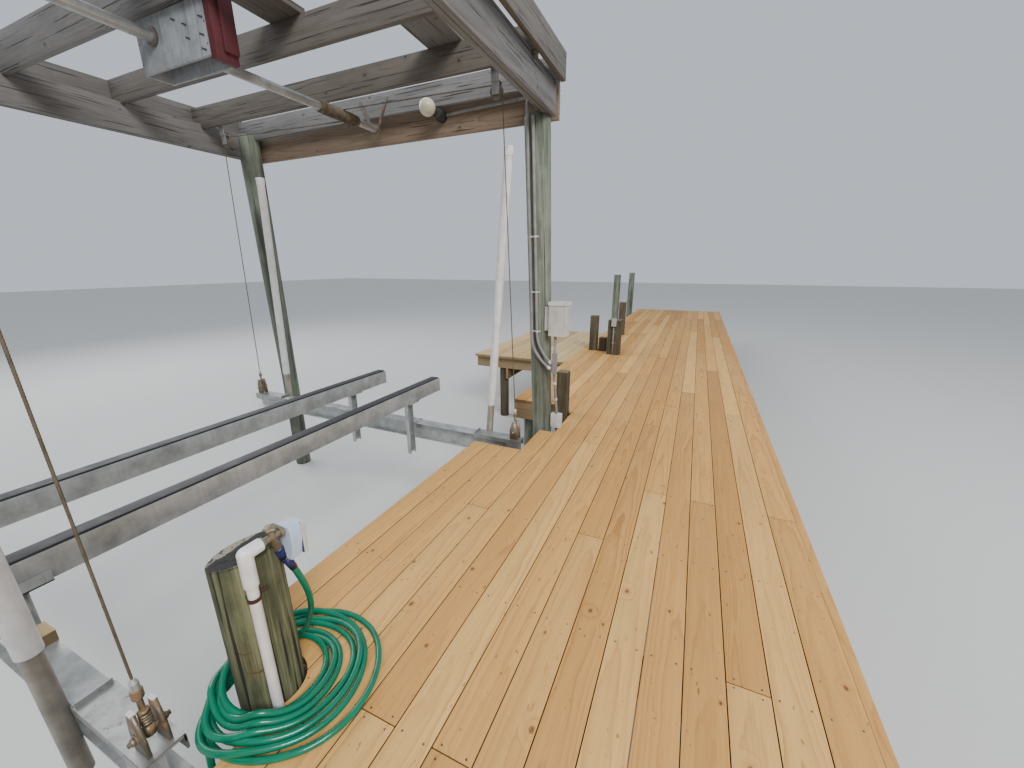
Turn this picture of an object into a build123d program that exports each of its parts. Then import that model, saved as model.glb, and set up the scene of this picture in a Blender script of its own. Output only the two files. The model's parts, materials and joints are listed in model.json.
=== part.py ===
from build123d import *
import math
import os

# A wooden jetty with a four-post boat lift, a slip ledge, a finger pier and its services.
# Sizes are in millimetres. X points to land, Y runs along the jetty and Z points up.
# The origin is the centre of the foot of the hose piling, at the water line.

# Deck and bays
DECK_TOP = 1100
BAY = 2750
BAY_COUNT = 6
BAY_LINE = -40
NEAR_END = BAY_LINE - BAY
FAR_END = NEAR_END + BAY_COUNT * BAY
END_INSET = 150

# Boards
BOARD_WIDTH = 140
BOARD_THICK = 38
BOARD_GAP = 3
BOARD_PITCH = BOARD_WIDTH + BOARD_GAP
LAND_EDGE = 1938
NEAR_LANES = 13
LEDGE_LANES = 3
FAR_LANES = 17
FINGER_LANES = 11
POST_CLEARANCE = 6

# Frame under the boards
JOIST_THICK = 38
JOIST_DEEP = 184
JOIST_SPACING = 610
FIRST_JOIST = 60
BOARD_JOISTS = 8
LAND_RIM_DEEP = 235
JOIST_TOP = DECK_TOP - BOARD_THICK
JOIST_BOTTOM = JOIST_TOP - JOIST_DEEP
STRINGER_BOTTOM = JOIST_BOTTOM - JOIST_DEEP

# Pilings and posts
PILING_R = 102.5
HOSE_PILING_R = 108
HOSE_PILING_TOP = DECK_TOP + 555
STUB_HALF = 65
TALL_PILING_R = 82
TALL_PILING_HEIGHT = 1200
FINGER_PILING_R = 74

# Lift frame
LIFT_X = 40
LIFT_WIDTH = 3450
LIFT_NEAR_Y = -690
LIFT_FAR_Y = BAY_LINE + BAY
LIFT_OUTER_X = LIFT_X - LIFT_WIDTH
LIFT_MIDDLE_X = LIFT_X - LIFT_WIDTH / 2
LIFT_PILING_R = 89
LIFT_PILING_TOP_R = 107
LIFT_PILING_X = {"inner": LIFT_X + 17, "outer": LIFT_OUTER_X + 65}
LIFT_PILING_LEAN = {"inner": -89, "outer": -45}
LIFT_TOP = 3650
PLANK_THICK = 38
WIDE_PLANK = 286
HEADER_DEEP = 235
HEADER_OFFSET = 22
HEADER_OVERHANG = 50
HEADER_TOP = LIFT_TOP + HEADER_DEEP
CROSS_DEEP = 184
CROSS_OVERHANG = 95
CROSS_SHARES = (0.225, 0.478, 0.747)
CROSS_NOTCHES = (42, 42, 42, 42, 15, 42, 42)
CROSS_EXTRA_DEEP = (0, 0, 0, 42, 0, 0, 0)
END_PLANK_DROP = 4
RIM_PLANK_DROP = 15
LOOSE_PLANK_X = (LIFT_MIDDLE_X + 205, LIFT_X - 740)

# Parts of the deck along Y
FALL_INSET = 400
LEDGE_END = LIFT_FAR_Y - FALL_INSET - 180
LANE_13_STOP = LIFT_FAR_Y - 130
LANE_13_RESUME = LIFT_FAR_Y + 420
WIDE_START = LIFT_FAR_Y + 590
FINGER_START = BAY_LINE + 2 * BAY - 230
FINGER_LENGTH = 2970
FINGER_OVERHANG = 80
FINGER_PILING_INSET = 460
OUTER_PILING_INSET = 220

# Cradle: the two beams hang on four cables, and the near beam lies further out
NEAR_FALL_Y = LIFT_NEAR_Y + FALL_INSET
FAR_FALL_Y = LIFT_FAR_Y - FALL_INSET
NEAR_BEAM_SHIFT = -107
INNER_YOKE_INSET = 85
OUTER_YOKE_INSET = 110
BEAM_TOP = DECK_TOP
BEAM_DEEP = 152
BEAM_FLANGE = 102
BEAM_FLANGE_THICK = 8
BEAM_WEB = 6
BEAM_PAST_YOKE = 55
BUNK_MIDDLE_X = LIFT_MIDDLE_X + 235
BUNK_SPREAD = 700
BUNK_WIDTH = 90
BUNK_DEEP = 140
BUNK_TOP = BEAM_TOP + 350
BUNK_OVERHANG = 360
BUNK_STRIP = 12
BUNK_PLATE = 8
BUNK_PLATE_LIP = 5
ARM_WIDTH = 40
ARM_DEEP = 75
ARM_WALL = 5
ARM_DROP = 300
GUIDE_R = 30
GUIDE_SLEEVE_R = 35
GUIDE_FOOT = BEAM_TOP - 150
GUIDE_SLEEVE_FOOT = BEAM_TOP + 250
GUIDE_TOP = 3380
GUIDE_CAP = 60
YOKE_PLATE = 8
YOKE_WIDTH = 110
YOKE_RISE = 135
YOKE_DROP = 60
YOKE_CAP_LENGTH = 375
YOKE_CAP_THICK = 6
YOKE_PIN_R = 10
YOKE_PIN_Z = BEAM_TOP + 50
TURNBUCKLE_R = 13
CABLE_EYE_Z = BEAM_TOP + 250

# Drive pipe, sheaves and cables
PIPE_X = LIFT_MIDDLE_X + 65
PIPE_Z = 3747
PIPE_R = 30
PIPE_WALL = 4
WINDER_R = 38
WINDER_COLLAR_R = 44
WINDER_COLLAR = 30
WINDER_NEAR = 235
WINDER_FAR = 155
CABLE_R = 4
SHEAVE_Z = 3712
SHEAVE_R = 42
SHEAVE_RIM = 48
SHEAVE_THICK = 22
SHEAVE_PIN_R = 8
FALL_LEAN = 100
RUNNING_GAP = 0.5
SIDE_GAP = 5
HANGER_THICK = 8
HANGER_LEG = 30
HANGER_SPREAD = 155
HANGER_RISE = 235
BEARING_R = 46

# Gear cover
COVER_WALL = 15
COVER_LEFT = 155
COVER_RIGHT = 455
COVER_DEPTH = 150
COVER_BOTTOM = 3590
COVER_TOP = 4050
MOTOR_BOX_WIDTH = 45
MOTOR_BOX_LIP = 15
MOTOR_BOX_DEPTH = 118

parts = {}


def add(node, *solids):
    parts.setdefault(node, []).extend(solids)


def block(x0, x1, y0, y1, z0, z1):
    box = Box(x1 - x0, y1 - y0, z1 - z0)
    return Pos((x0 + x1) / 2, (y0 + y1) / 2, (z0 + z1) / 2) * box


def round_post(x, y, z0, z1, foot_r, top_r=None):
    top_r = foot_r if top_r is None else top_r
    if foot_r == top_r:
        body = Cylinder(foot_r, z1 - z0)
    else:
        body = Cone(foot_r, top_r, z1 - z0)
    return Pos(x, y, (z0 + z1) / 2) * body


def rod_y(x, z, y0, y1, radius):
    return Pos(x, (y0 + y1) / 2, z) * Rot(90, 0, 0) * Cylinder(radius, y1 - y0)


def leaning_rod(foot, top, radius):
    # The ends stay level, whatever the lean
    along = Vector(*top) - Vector(*foot)
    outline = Plane(origin=foot) * Circle(radius)
    return extrude(outline, amount=along.length, dir=along.normalized()).solid()


def lane_span(lane):
    right = LAND_EDGE - (lane - 1) * BOARD_PITCH
    return right - BOARD_WIDTH, right


NEAR_EDGE = lane_span(NEAR_LANES)[0]
LEDGE_EDGE = lane_span(NEAR_LANES + LEDGE_LANES)[0]
WIDE_EDGE = lane_span(FAR_LANES)[0]


def joist_y(index):
    return FIRST_JOIST + index * JOIST_SPACING


LEDGE_START = joist_y(0) + JOIST_THICK / 2

# Stringers, given by the face that the pilings stand against
INNER_STRINGER_X = HOSE_PILING_R
OUTER_STRINGER_X = -243
LAND_STRINGER_X = LAND_EDGE - 2 * PILING_R - BOARD_GAP
LAND_PILING_X = LAND_STRINGER_X + PILING_R

# Posts that come up through the boards: x, y, half width, top height, whether it is round
OUTER_POST_X = OUTER_STRINGER_X + JOIST_THICK + STUB_HALF
STUBS = {
    "corner": (LIFT_X + 95, LIFT_FAR_Y + 395, 55, DECK_TOP + 435, False),
    "slim": (OUTER_STRINGER_X - STUB_HALF, FINGER_START + 1140, STUB_HALF, DECK_TOP + 600, False),
    "outlet": (80, FINGER_START + 940, 100, DECK_TOP + 570, False),
    "low": (OUTER_POST_X, FINGER_START + 1130, STUB_HALF, DECK_TOP + 230, False),
    "brown": (OUTER_POST_X, FINGER_START + FINGER_LENGTH + 10, STUB_HALF, DECK_TOP + 680, False),
}
TALL_PILING_X = WIDE_EDGE - TALL_PILING_R
TALL_PILING_TOP = DECK_TOP + TALL_PILING_HEIGHT
TALL_PILINGS = {
    "first": (TALL_PILING_X, joist_y(16), TALL_PILING_R, TALL_PILING_TOP, True),
    "second": (TALL_PILING_X, joist_y(20), TALL_PILING_R, TALL_PILING_TOP, True),
}
DECK_POSTS = [
    (0, 0, HOSE_PILING_R, HOSE_PILING_TOP, True),
    (LIFT_PILING_X["inner"], LIFT_NEAR_Y, LIFT_PILING_R, DECK_TOP, True),
    (LIFT_PILING_X["inner"], LIFT_FAR_Y, LIFT_PILING_R, DECK_TOP, True),
    *STUBS.values(),
    *TALL_PILINGS.values(),
]


def post_hole(post, clearance):
    x, y, half, top, is_round = post
    if is_round:
        return round_post(x, y, 0, top, half + clearance)
    reach = half + clearance
    return block(x - reach, x + reach, y - reach, y + reach, 0, top)


def notched(solid, clearance):
    box = solid.bounding_box()
    for post in DECK_POSTS:
        x, y, half = post[:3]
        reach = half + clearance
        beside_x = box.min.X < x + reach and box.max.X > x - reach
        beside_y = box.min.Y < y + reach and box.max.Y > y - reach
        if beside_x and beside_y:
            solid = solid - post_hole(post, clearance)
    return solid.solids()


# Butt joints lie on joists, and each lane starts its boards at another joist
LANE_FIRST_JOINT = (3, 6, 1, 3, 7, 3, 5, 2, 0, 4, 0, 6, 2, 5, 1, 4, 7)


def lane_boards(lane, start, end):
    first = LANE_FIRST_JOINT[lane - 1] - BOARD_JOISTS
    joints = []
    index = first
    while joist_y(index) < end - JOIST_SPACING:
        if joist_y(index) > start + JOIST_SPACING:
            joints.append(joist_y(index))
        index += BOARD_JOISTS
    x0, x1 = lane_span(lane)
    stops = [start - BOARD_GAP / 2, *joints, end + BOARD_GAP / 2]
    boards = []
    for y0, y1 in zip(stops, stops[1:]):
        board = block(x0, x1, y0 + BOARD_GAP / 2, y1 - BOARD_GAP / 2, JOIST_TOP, DECK_TOP)
        boards.extend(notched(board, POST_CLEARANCE))
    return boards


def make_deck():
    for lane in range(1, NEAR_LANES):
        add("deck_boards", *lane_boards(lane, NEAR_END, FAR_END))
    add("edge_boards_near", *lane_boards(NEAR_LANES, NEAR_END, LANE_13_STOP))
    for lane in range(NEAR_LANES + 1, NEAR_LANES + LEDGE_LANES + 1):
        add("ledge_boards", *lane_boards(lane, LEDGE_START, LEDGE_END))
    for lane in range(NEAR_LANES, FAR_LANES + 1):
        start = LANE_13_RESUME if lane == NEAR_LANES else WIDE_START
        add("edge_boards_far", *lane_boards(lane, start, FAR_END))


def joist(x0, x1, y0):
    return block(x0, x1, y0, y0 + JOIST_THICK, JOIST_BOTTOM, JOIST_TOP)


def rim(x0, y0, y1, bottom=JOIST_BOTTOM, top=JOIST_TOP):
    return block(x0, x0 + JOIST_THICK, y0, y1, bottom, top)


def make_frame():
    # The ends close with a joist, and the narrow and wide decks each start with one
    narrow_left = NEAR_EDGE + JOIST_THICK
    wide_left = WIDE_EDGE + JOIST_THICK
    add("joists", joist(narrow_left, LAND_EDGE, NEAR_END))
    add("joists", joist(wide_left, LAND_EDGE, FAR_END - JOIST_THICK))
    add("joists", joist(wide_left, LAND_EDGE, WIDE_START))
    index = math.ceil((NEAR_END + 2 * JOIST_THICK - FIRST_JOIST) / JOIST_SPACING)
    while joist_y(index) < FAR_END - 2 * JOIST_THICK:
        y0 = joist_y(index) - JOIST_THICK / 2
        left = wide_left if y0 > WIDE_START else narrow_left
        if abs(y0 - WIDE_START) > 2 * JOIST_THICK:
            add("joists", *notched(joist(left, LAND_EDGE, y0), 0))
        index += 1
    # The ledge's joists lie beside the deck's and carry the three ledge lanes
    ledge_left = LEDGE_EDGE + JOIST_THICK
    ledge_root = NEAR_EDGE + 3 * BOARD_PITCH
    beside = [joist_y(index) + JOIST_THICK / 2 for index in (1, 2, 3)]
    for y0 in (HOSE_PILING_R, *beside, LEDGE_END - JOIST_THICK):
        add("ledge_joists", joist(ledge_left, ledge_root, y0))
    # Rims close the joists' ends along the water and along the land
    add("rim_boards", *notched(rim(NEAR_EDGE, NEAR_END, joist_y(0) - JOIST_THICK / 2), 0))
    add("rim_boards", *notched(rim(NEAR_EDGE, LEDGE_END, LANE_13_STOP), 0))
    add("rim_boards", rim(LEDGE_EDGE, LEDGE_START, LEDGE_END))
    add("rim_boards", *notched(rim(WIDE_EDGE, WIDE_START, FAR_END), 0))
    add("land_rim", rim(LAND_EDGE, NEAR_END, FAR_END, DECK_TOP - LAND_RIM_DEEP, DECK_TOP))
    # Stringers lie under the joists, against the pilings
    for x0, y0 in ((INNER_STRINGER_X, NEAR_END), (OUTER_STRINGER_X, WIDE_START)):
        add("stringers", rim(x0, y0, FAR_END, STRINGER_BOTTOM, JOIST_BOTTOM))
    land_x = LAND_STRINGER_X - JOIST_THICK
    add("stringers", rim(land_x, NEAR_END, FAR_END, STRINGER_BOTTOM, JOIST_BOTTOM))


def bay_lines():
    lines = [NEAR_END + index * BAY for index in range(BAY_COUNT + 1)]
    lines[0] += END_INSET
    lines[-1] -= END_INSET
    return lines


def pocketed(post):
    # A post that stands in the way of a stringer is cut back to seat it
    for stringer in parts["stringers"]:
        post = post - stringer
    for board in parts["rim_boards"] + parts["joists"]:
        box = board.bounding_box()
        own = post.bounding_box()
        if box.min.X < own.max.X and box.max.X > own.min.X:
            if box.min.Y < own.max.Y and box.max.Y > own.min.Y:
                post = post - board
    return post


def lift_piling_share(z):
    return max(0, z - DECK_TOP) / (LIFT_TOP - DECK_TOP)


def lift_piling_radius(z):
    # The pilings stand on their thin ends: plain up to the deck and wider above it
    return LIFT_PILING_R + (LIFT_PILING_TOP_R - LIFT_PILING_R) * lift_piling_share(z)


def lift_piling_x(side, z):
    return LIFT_PILING_X[side] + LIFT_PILING_LEAN[side] * lift_piling_share(z)


def lift_piling(side, y):
    # A leaning cone, cut level at the deck and at the top, on a plain upright foot
    top = LIFT_TOP if side == "inner" else HEADER_TOP
    foot_x = LIFT_PILING_X[side]
    rise = top - DECK_TOP
    run = lift_piling_x(side, top) - foot_x
    widening = (lift_piling_radius(top) - LIFT_PILING_R) / rise
    past = 20
    lower_r = LIFT_PILING_R - widening * past
    upper_r = LIFT_PILING_R + widening * (rise + past)
    cone = Rot(0, math.degrees(math.atan2(run, rise)), 0) * Cone(lower_r, upper_r, rise + 2 * past)
    cone = Pos(foot_x + run / 2, y, DECK_TOP + rise / 2) * cone
    reach = LIFT_PILING_TOP_R + abs(run)
    cone = cone & block(foot_x - reach, foot_x + reach, y - reach, y + reach, DECK_TOP, top)
    return round_post(foot_x, y, 0, DECK_TOP, LIFT_PILING_R + RUNNING_GAP) + cone


def make_pilings():
    add("hose_piling", round_post(0, 0, 0, HOSE_PILING_TOP, HOSE_PILING_R))
    for y in (LIFT_NEAR_Y, LIFT_FAR_Y):
        add("lift_pilings", pocketed(lift_piling("inner", y)))
        # The outer pilings stand up past the headers and are cut to seat the lift's planks
        post = lift_piling("outer", y) - header_seat("outer")
        for timber in parts["cross_members"] + parts["end_planks"]:
            post = post - timber
        add("lift_pilings", post)
    for y in bay_lines():
        add("deck_pilings", round_post(LAND_PILING_X, y, 0, JOIST_BOTTOM, PILING_R))
        if y < BAY_LINE:
            near_x = INNER_STRINGER_X - PILING_R
            add("deck_pilings", round_post(near_x, y, 0, JOIST_BOTTOM, PILING_R))
        elif y > WIDE_START:
            inner_x = INNER_STRINGER_X + JOIST_THICK + PILING_R
            add("deck_pilings", round_post(inner_x, y, 0, JOIST_BOTTOM, PILING_R))
    outer_x = OUTER_STRINGER_X - PILING_R
    for y in (WIDE_START + OUTER_PILING_INSET, FAR_END - END_INSET):
        add("deck_pilings", round_post(outer_x, y, 0, JOIST_BOTTOM, PILING_R))
    for x, y, half, top, _ in STUBS.values():
        add("stub_posts", pocketed(block(x - half, x + half, y - half, y + half, 0, top)))
    for x, y, radius, top, _ in TALL_PILINGS.values():
        add("tall_pilings", pocketed(round_post(x, y, 0, top, radius)))


def make_finger():
    right = WIDE_EDGE - BOARD_GAP
    end = FINGER_START + FINGER_LENGTH
    for lane in range(FINGER_LANES):
        x1 = right - lane * BOARD_PITCH
        add("finger_boards", block(x1 - BOARD_WIDTH, x1, FINGER_START, end, JOIST_TOP, DECK_TOP))
    left = right - FINGER_LANES * BOARD_PITCH + BOARD_GAP
    # Cross joists butt against the deck's rim, and the outer ones rest on a carrier
    first = FINGER_START + FINGER_OVERHANG
    last = end - FINGER_OVERHANG - JOIST_THICK
    count = round((last - first) / JOIST_SPACING)
    for index in range(count + 1):
        add("finger_frame", joist(left + JOIST_THICK, WIDE_EDGE, first + (last - first) * index / count))
    add("finger_frame", rim(left, first, last + JOIST_THICK))
    pile_x = left + FINGER_PILING_INSET
    carrier_x = pile_x + FINGER_PILING_R
    add("finger_frame", rim(carrier_x, first, last + JOIST_THICK, STRINGER_BOTTOM, JOIST_BOTTOM))
    for y in (first + PILING_R, last - PILING_R):
        add("finger_pilings", round_post(pile_x, y, 0, JOIST_BOTTOM, FINGER_PILING_R))


FRAME_RIGHT = LIFT_X + CROSS_OVERHANG
FRAME_LEFT = LIFT_OUTER_X - CROSS_OVERHANG


def cross_lines():
    # Both end members lie over the pilings, and the next ones carry the sheaves
    sheave_gap = 50
    near = NEAR_FALL_Y + sheave_gap
    far = FAR_FALL_Y - sheave_gap
    middle = [near + (far - near) * share for share in CROSS_SHARES]
    return [LIFT_NEAR_Y - 15, near, *middle, far, LIFT_FAR_Y + 15]


CROSS_Y = cross_lines()


HEADER_START = LIFT_NEAR_Y - HEADER_OVERHANG
HEADER_END = LIFT_FAR_Y + HEADER_OVERHANG
HEADER_X = {"inner": LIFT_X + HEADER_OFFSET, "outer": LIFT_OUTER_X - HEADER_OFFSET}
HEADER_HALF = PLANK_THICK + BOARD_GAP / 2
END_PLANK_FACE = LIFT_PILING_TOP_R


def header_seat(side):
    x = HEADER_X[side]
    return block(x - HEADER_HALF, x + HEADER_HALF, HEADER_START, HEADER_END, LIFT_TOP, HEADER_TOP)


def cross_span(index):
    bottom = HEADER_TOP - CROSS_NOTCHES[index]
    return bottom, bottom + CROSS_DEEP + CROSS_EXTRA_DEEP[index]


def cross_far_top(index):
    return CROSS_Y[index] + PLANK_THICK / 2, cross_span(index)[1]


def loose_plank(x0, start, first, last):
    # It lies on two cross members, which may differ in height
    y1, z1 = cross_far_top(first)
    y2, z2 = cross_far_top(last)
    y0 = CROSS_Y[start] - PLANK_THICK / 2
    z0 = z1 + (z2 - z1) * (y0 - y1) / (y2 - y1)
    with BuildSketch(Plane.YZ.offset(x0)) as outline:
        with BuildLine():
            Polyline(
                (y0, z0),
                (y2, z2),
                (y2, z2 + PLANK_THICK),
                (y0, z0 + PLANK_THICK),
                close=True,
            )
        make_face()
    return extrude(outline.sketch, WIDE_PLANK)


def make_lift_frame():
    for x in HEADER_X.values():
        # Each header is two planks with a thin gap between them
        for x0 in (x - HEADER_HALF, x + BOARD_GAP / 2):
            x1 = x0 + PLANK_THICK
            add("lift_headers", block(x0, x1, HEADER_START, HEADER_END, LIFT_TOP, HEADER_TOP))
    for index, y in enumerate(CROSS_Y):
        y0 = y - PLANK_THICK / 2
        member = block(FRAME_LEFT, FRAME_RIGHT, y0, y0 + PLANK_THICK, *cross_span(index))
        add("cross_members", member - header_seat("inner") - header_seat("outer"))
    top = HEADER_TOP - END_PLANK_DROP
    left = HEADER_X["outer"] - HEADER_HALF
    right = HEADER_X["inner"] + HEADER_HALF
    for y0 in (LIFT_NEAR_Y - END_PLANK_FACE - PLANK_THICK, LIFT_FAR_Y + END_PLANK_FACE):
        add("end_planks", block(left, right, y0, y0 + PLANK_THICK, top - HEADER_DEEP, top))
    rim_bottom = HEADER_TOP - RIM_PLANK_DROP
    rim_top = rim_bottom + CROSS_DEEP
    for x0 in (FRAME_RIGHT, FRAME_LEFT - PLANK_THICK):
        add("rim_planks", block(x0, x0 + PLANK_THICK, HEADER_START, HEADER_END, rim_bottom, rim_top))
    # Two wide planks lie loose on the cross members
    add("loose_planks", loose_plank(LOOSE_PLANK_X[0], 2, 3, 4))
    add("loose_planks", loose_plank(LOOSE_PLANK_X[1], 4, 4, 5))


def hanger_outline():
    # A bearing ring that hangs on two straps, in the plane of the cross member's face
    with BuildSketch(Plane.XZ) as outline:
        with Locations((PIPE_X, PIPE_Z)):
            Circle(BEARING_R)
        for side in (-1, 1):
            half = HANGER_LEG / 2
            foot = PIPE_X + side * (BEARING_R - half)
            head = PIPE_X + side * HANGER_SPREAD
            with BuildLine():
                Polyline(
                    (foot - half, PIPE_Z),
                    (foot + half, PIPE_Z),
                    (head + half, PIPE_Z + HANGER_RISE),
                    (head - half, PIPE_Z + HANGER_RISE),
                    close=True,
                )
            make_face()
        with Locations((PIPE_X, PIPE_Z)):
            Circle(PIPE_R + RUNNING_GAP, mode=Mode.SUBTRACT)
    return outline.sketch


def ring_y(y0, y1, radius, hole):
    return rod_y(PIPE_X, PIPE_Z, y0, y1, radius) - rod_y(PIPE_X, PIPE_Z, y0, y1, hole)


def make_drive():
    pipe_start = CROSS_Y[0] + PLANK_THICK / 2
    pipe_end = CROSS_Y[-1] - PLANK_THICK / 2
    strap = extrude(hanger_outline(), HANGER_THICK)
    strap_y = strap.bounding_box().min.Y
    for y0 in (pipe_start, pipe_end - HANGER_THICK):
        add("pipe_hangers", Pos(0, y0 - strap_y, 0) * strap)
    # A flanged bearing sits on the gear cover's near wall
    cover_y = CROSS_Y[3] + PLANK_THICK / 2
    add("pipe_hangers", ring_y(cover_y - COVER_WALL, cover_y, BEARING_R, PIPE_R + RUNNING_GAP))
    start = pipe_start + 2
    end = pipe_end - 2
    add("drive_pipe", ring_y(start, end, PIPE_R, PIPE_R - PIPE_WALL))
    for fall_y in (NEAR_FALL_Y, FAR_FALL_Y):
        y0 = fall_y - WINDER_NEAR
        y1 = fall_y + WINDER_FAR
        drum = ring_y(y0, y1, WINDER_R, PIPE_R)
        drum += ring_y(y0, y0 + WINDER_COLLAR, WINDER_COLLAR_R, PIPE_R)
        drum += ring_y(y1 - WINDER_COLLAR, y1, WINDER_COLLAR_R, PIPE_R)
        add("cable_winders", drum)


def make_gear_cover():
    x0 = PIPE_X - COVER_LEFT
    x1 = PIPE_X + COVER_RIGHT
    y0 = CROSS_Y[3] + PLANK_THICK / 2
    y1 = y0 + COVER_DEPTH
    z0, z1 = COVER_BOTTOM, COVER_TOP
    inset = COVER_WALL
    cover = block(x0, x1, y0, y1, z0, z1)
    cover = cover - block(x0 + inset, x1 - inset, y0 + inset, y1 - inset, z0, z1 - inset)
    cover = cover - rod_y(PIPE_X, PIPE_Z, y0, y1, PIPE_R + RUNNING_GAP + SIDE_GAP)
    add("gear_cover", cover)
    x2 = x1 + MOTOR_BOX_WIDTH
    y2 = y0 + MOTOR_BOX_DEPTH
    box = block(x1, x2, y0, y2, z0 - 20, z1 - 60)
    box += block(x2, x2 + MOTOR_BOX_LIP, y0 + 40, y2, z0 + 20, z1 - 60)
    add("motor_box", box)


def fall_ends(place, side):
    # Where a cable hangs: x at the cradle's yoke, x beside its sheave, and y
    shift = NEAR_BEAM_SHIFT if place == "near" else 0
    fall_y = NEAR_FALL_Y if place == "near" else FAR_FALL_Y
    if side == "inner":
        yoke_x = LIFT_X - INNER_YOKE_INSET + shift
        return yoke_x, yoke_x - FALL_LEAN, fall_y
    yoke_x = LIFT_OUTER_X + OUTER_YOKE_INSET + shift
    return yoke_x, yoke_x + FALL_LEAN, fall_y


def tangent_run(drum_side, sheave_x):
    # The straight run leaves the drum's top or bottom and meets the sheave's top
    drum_r = WINDER_R + CABLE_R + RUNNING_GAP
    dx = sheave_x - PIPE_X
    dz = SHEAVE_Z - PIPE_Z
    length = math.hypot(dx, dz)
    along = (drum_side * drum_r - SHEAVE_R) / length
    upright = math.sqrt(1 - along**2)
    ux, uz = dx / length, dz / length
    side = 1 if dx > 0 else -1
    nx = ux * along - uz * upright * side
    nz = uz * along + ux * upright * side
    start = (PIPE_X + drum_side * drum_r * nx, PIPE_Z + drum_side * drum_r * nz)
    end = (sheave_x + SHEAVE_R * nx, SHEAVE_Z + SHEAVE_R * nz)
    return start, end, math.degrees(math.atan2(nz, nx))


def sheave_wheel():
    half = SHEAVE_THICK / 2
    groove = CABLE_R + RUNNING_GAP
    bore = SHEAVE_PIN_R + RUNNING_GAP
    with BuildSketch(Plane.XZ) as profile:
        with BuildLine():
            Polyline(
                (bore, -half),
                (SHEAVE_RIM, -half),
                (SHEAVE_RIM, -groove - 2),
                (SHEAVE_R - groove, -groove),
                (SHEAVE_R - groove, groove),
                (SHEAVE_RIM, groove + 2),
                (SHEAVE_RIM, half),
                (bore, half),
                close=True,
            )
        make_face()
    return revolve(profile.sketch, Axis.Z)


def make_sheaves():
    wheel = sheave_wheel()
    for place in ("near", "far"):
        for side in ("inner", "outer"):
            _, fall_x, fall_y = fall_ends(place, side)
            sheave_x = fall_x - SHEAVE_R if side == "inner" else fall_x + SHEAVE_R
            add(f"sheave_{place}_{side}", Pos(sheave_x, fall_y, SHEAVE_Z) * Rot(90, 0, 0) * wheel)
            make_sheave_bracket(place, fall_y, sheave_x)
            make_cable(place, side, sheave_x)


def make_sheave_bracket(place, fall_y, sheave_x):
    plate = 5
    inside = SHEAVE_THICK / 2 + SIDE_GAP
    away = 1 if place == "far" else -1
    cross = CROSS_Y[-2] if place == "far" else CROSS_Y[1]
    face = cross + away * PLANK_THICK / 2
    front = fall_y + away * (inside + plate)
    x0, x1 = sheave_x - 30, sheave_x + 30
    cap_z = SHEAVE_Z + SHEAVE_RIM + 8
    bracket = block(x0, x1, min(face, front), max(face, front), cap_z, cap_z + plate)
    back = (face, face + away * plate)
    bracket += block(x0, x1, min(back), max(back), cap_z, HEADER_TOP + 60)
    for offset in (-inside - plate, inside):
        bracket += block(x0, x1, fall_y + offset, fall_y + offset + plate, SHEAVE_Z - 20, cap_z)
    reach = inside + plate
    bracket += rod_y(sheave_x, SHEAVE_Z, fall_y - reach, fall_y + reach, SHEAVE_PIN_R)
    add("sheave_brackets", bracket)


def make_cable(place, side, sheave_x):
    yoke_x, fall_x, fall_y = fall_ends(place, side)
    drum_side = 1 if side == "inner" else -1
    start, end, angle = tangent_run(drum_side, sheave_x)
    fall_angle = 0 if side == "inner" else 180
    middle = math.radians((angle + fall_angle) / 2)
    halfway = (sheave_x + SHEAVE_R * math.cos(middle), SHEAVE_Z + SHEAVE_R * math.sin(middle))
    with BuildLine() as path:
        Line((start[0], fall_y, start[1]), (end[0], fall_y, end[1]))
        ThreePointArc(
            (end[0], fall_y, end[1]), (halfway[0], fall_y, halfway[1]), (fall_x, fall_y, SHEAVE_Z)
        )
    spine = path.wire()
    section = Plane(origin=spine @ 0, z_dir=spine % 0) * Circle(CABLE_R)
    add("cable_runs", sweep(section, spine).solid())
    fall = leaning_rod((yoke_x, fall_y, CABLE_EYE_Z), (fall_x, fall_y, SHEAVE_Z), CABLE_R)
    add("cable_falls", fall)


def i_beam(x0, x1, y, top):
    half = BEAM_FLANGE / 2
    bottom = top - BEAM_DEEP
    beam = block(x0, x1, y - half, y + half, top - BEAM_FLANGE_THICK, top)
    beam += block(x0, x1, y - half, y + half, bottom, bottom + BEAM_FLANGE_THICK)
    beam += block(x0, x1, y - BEAM_WEB / 2, y + BEAM_WEB / 2, bottom, top)
    return beam


def yoke_plate(x):
    # A plate with a round head, in the plane of the beam's flange edge
    half = YOKE_WIDTH / 2
    shoulder = BEAM_TOP + YOKE_RISE - half
    with BuildSketch(Plane.XZ) as outline:
        with BuildLine():
            Line((x - half, shoulder), (x - half, BEAM_TOP - YOKE_DROP))
            Line((x - half, BEAM_TOP - YOKE_DROP), (x + half, BEAM_TOP - YOKE_DROP))
            Line((x + half, BEAM_TOP - YOKE_DROP), (x + half, shoulder))
            ThreePointArc((x + half, shoulder), (x, shoulder + half), (x - half, shoulder))
        make_face()
    return extrude(outline.sketch, YOKE_PLATE)


def yoke(x, y, side):
    # Two plates and a cap on the beam's end, a pin between them and a turnbuckle on the pin
    half = BEAM_FLANGE / 2
    reach = half + YOKE_PLATE
    inward = -1 if side == "inner" else 1
    cap_x = sorted((x + inward * YOKE_CAP_LENGTH, x - inward * YOKE_WIDTH / 2))
    part = block(*cap_x, y - half, y + half, BEAM_TOP, BEAM_TOP + YOKE_CAP_THICK)
    plate = yoke_plate(x)
    plate_y = plate.bounding_box().min.Y
    for y0 in (y - reach, y + half):
        part += Pos(0, y0 - plate_y, 0) * plate
    part += rod_y(x, YOKE_PIN_Z, y - reach - 12, y + reach + 12, YOKE_PIN_R)
    part += round_post(x, y, YOKE_PIN_Z, CABLE_EYE_Z, YOKE_PIN_R)
    part += round_post(x, y, YOKE_PIN_Z + 60, CABLE_EYE_Z - 40, TURNBUCKLE_R)
    return part


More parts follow.
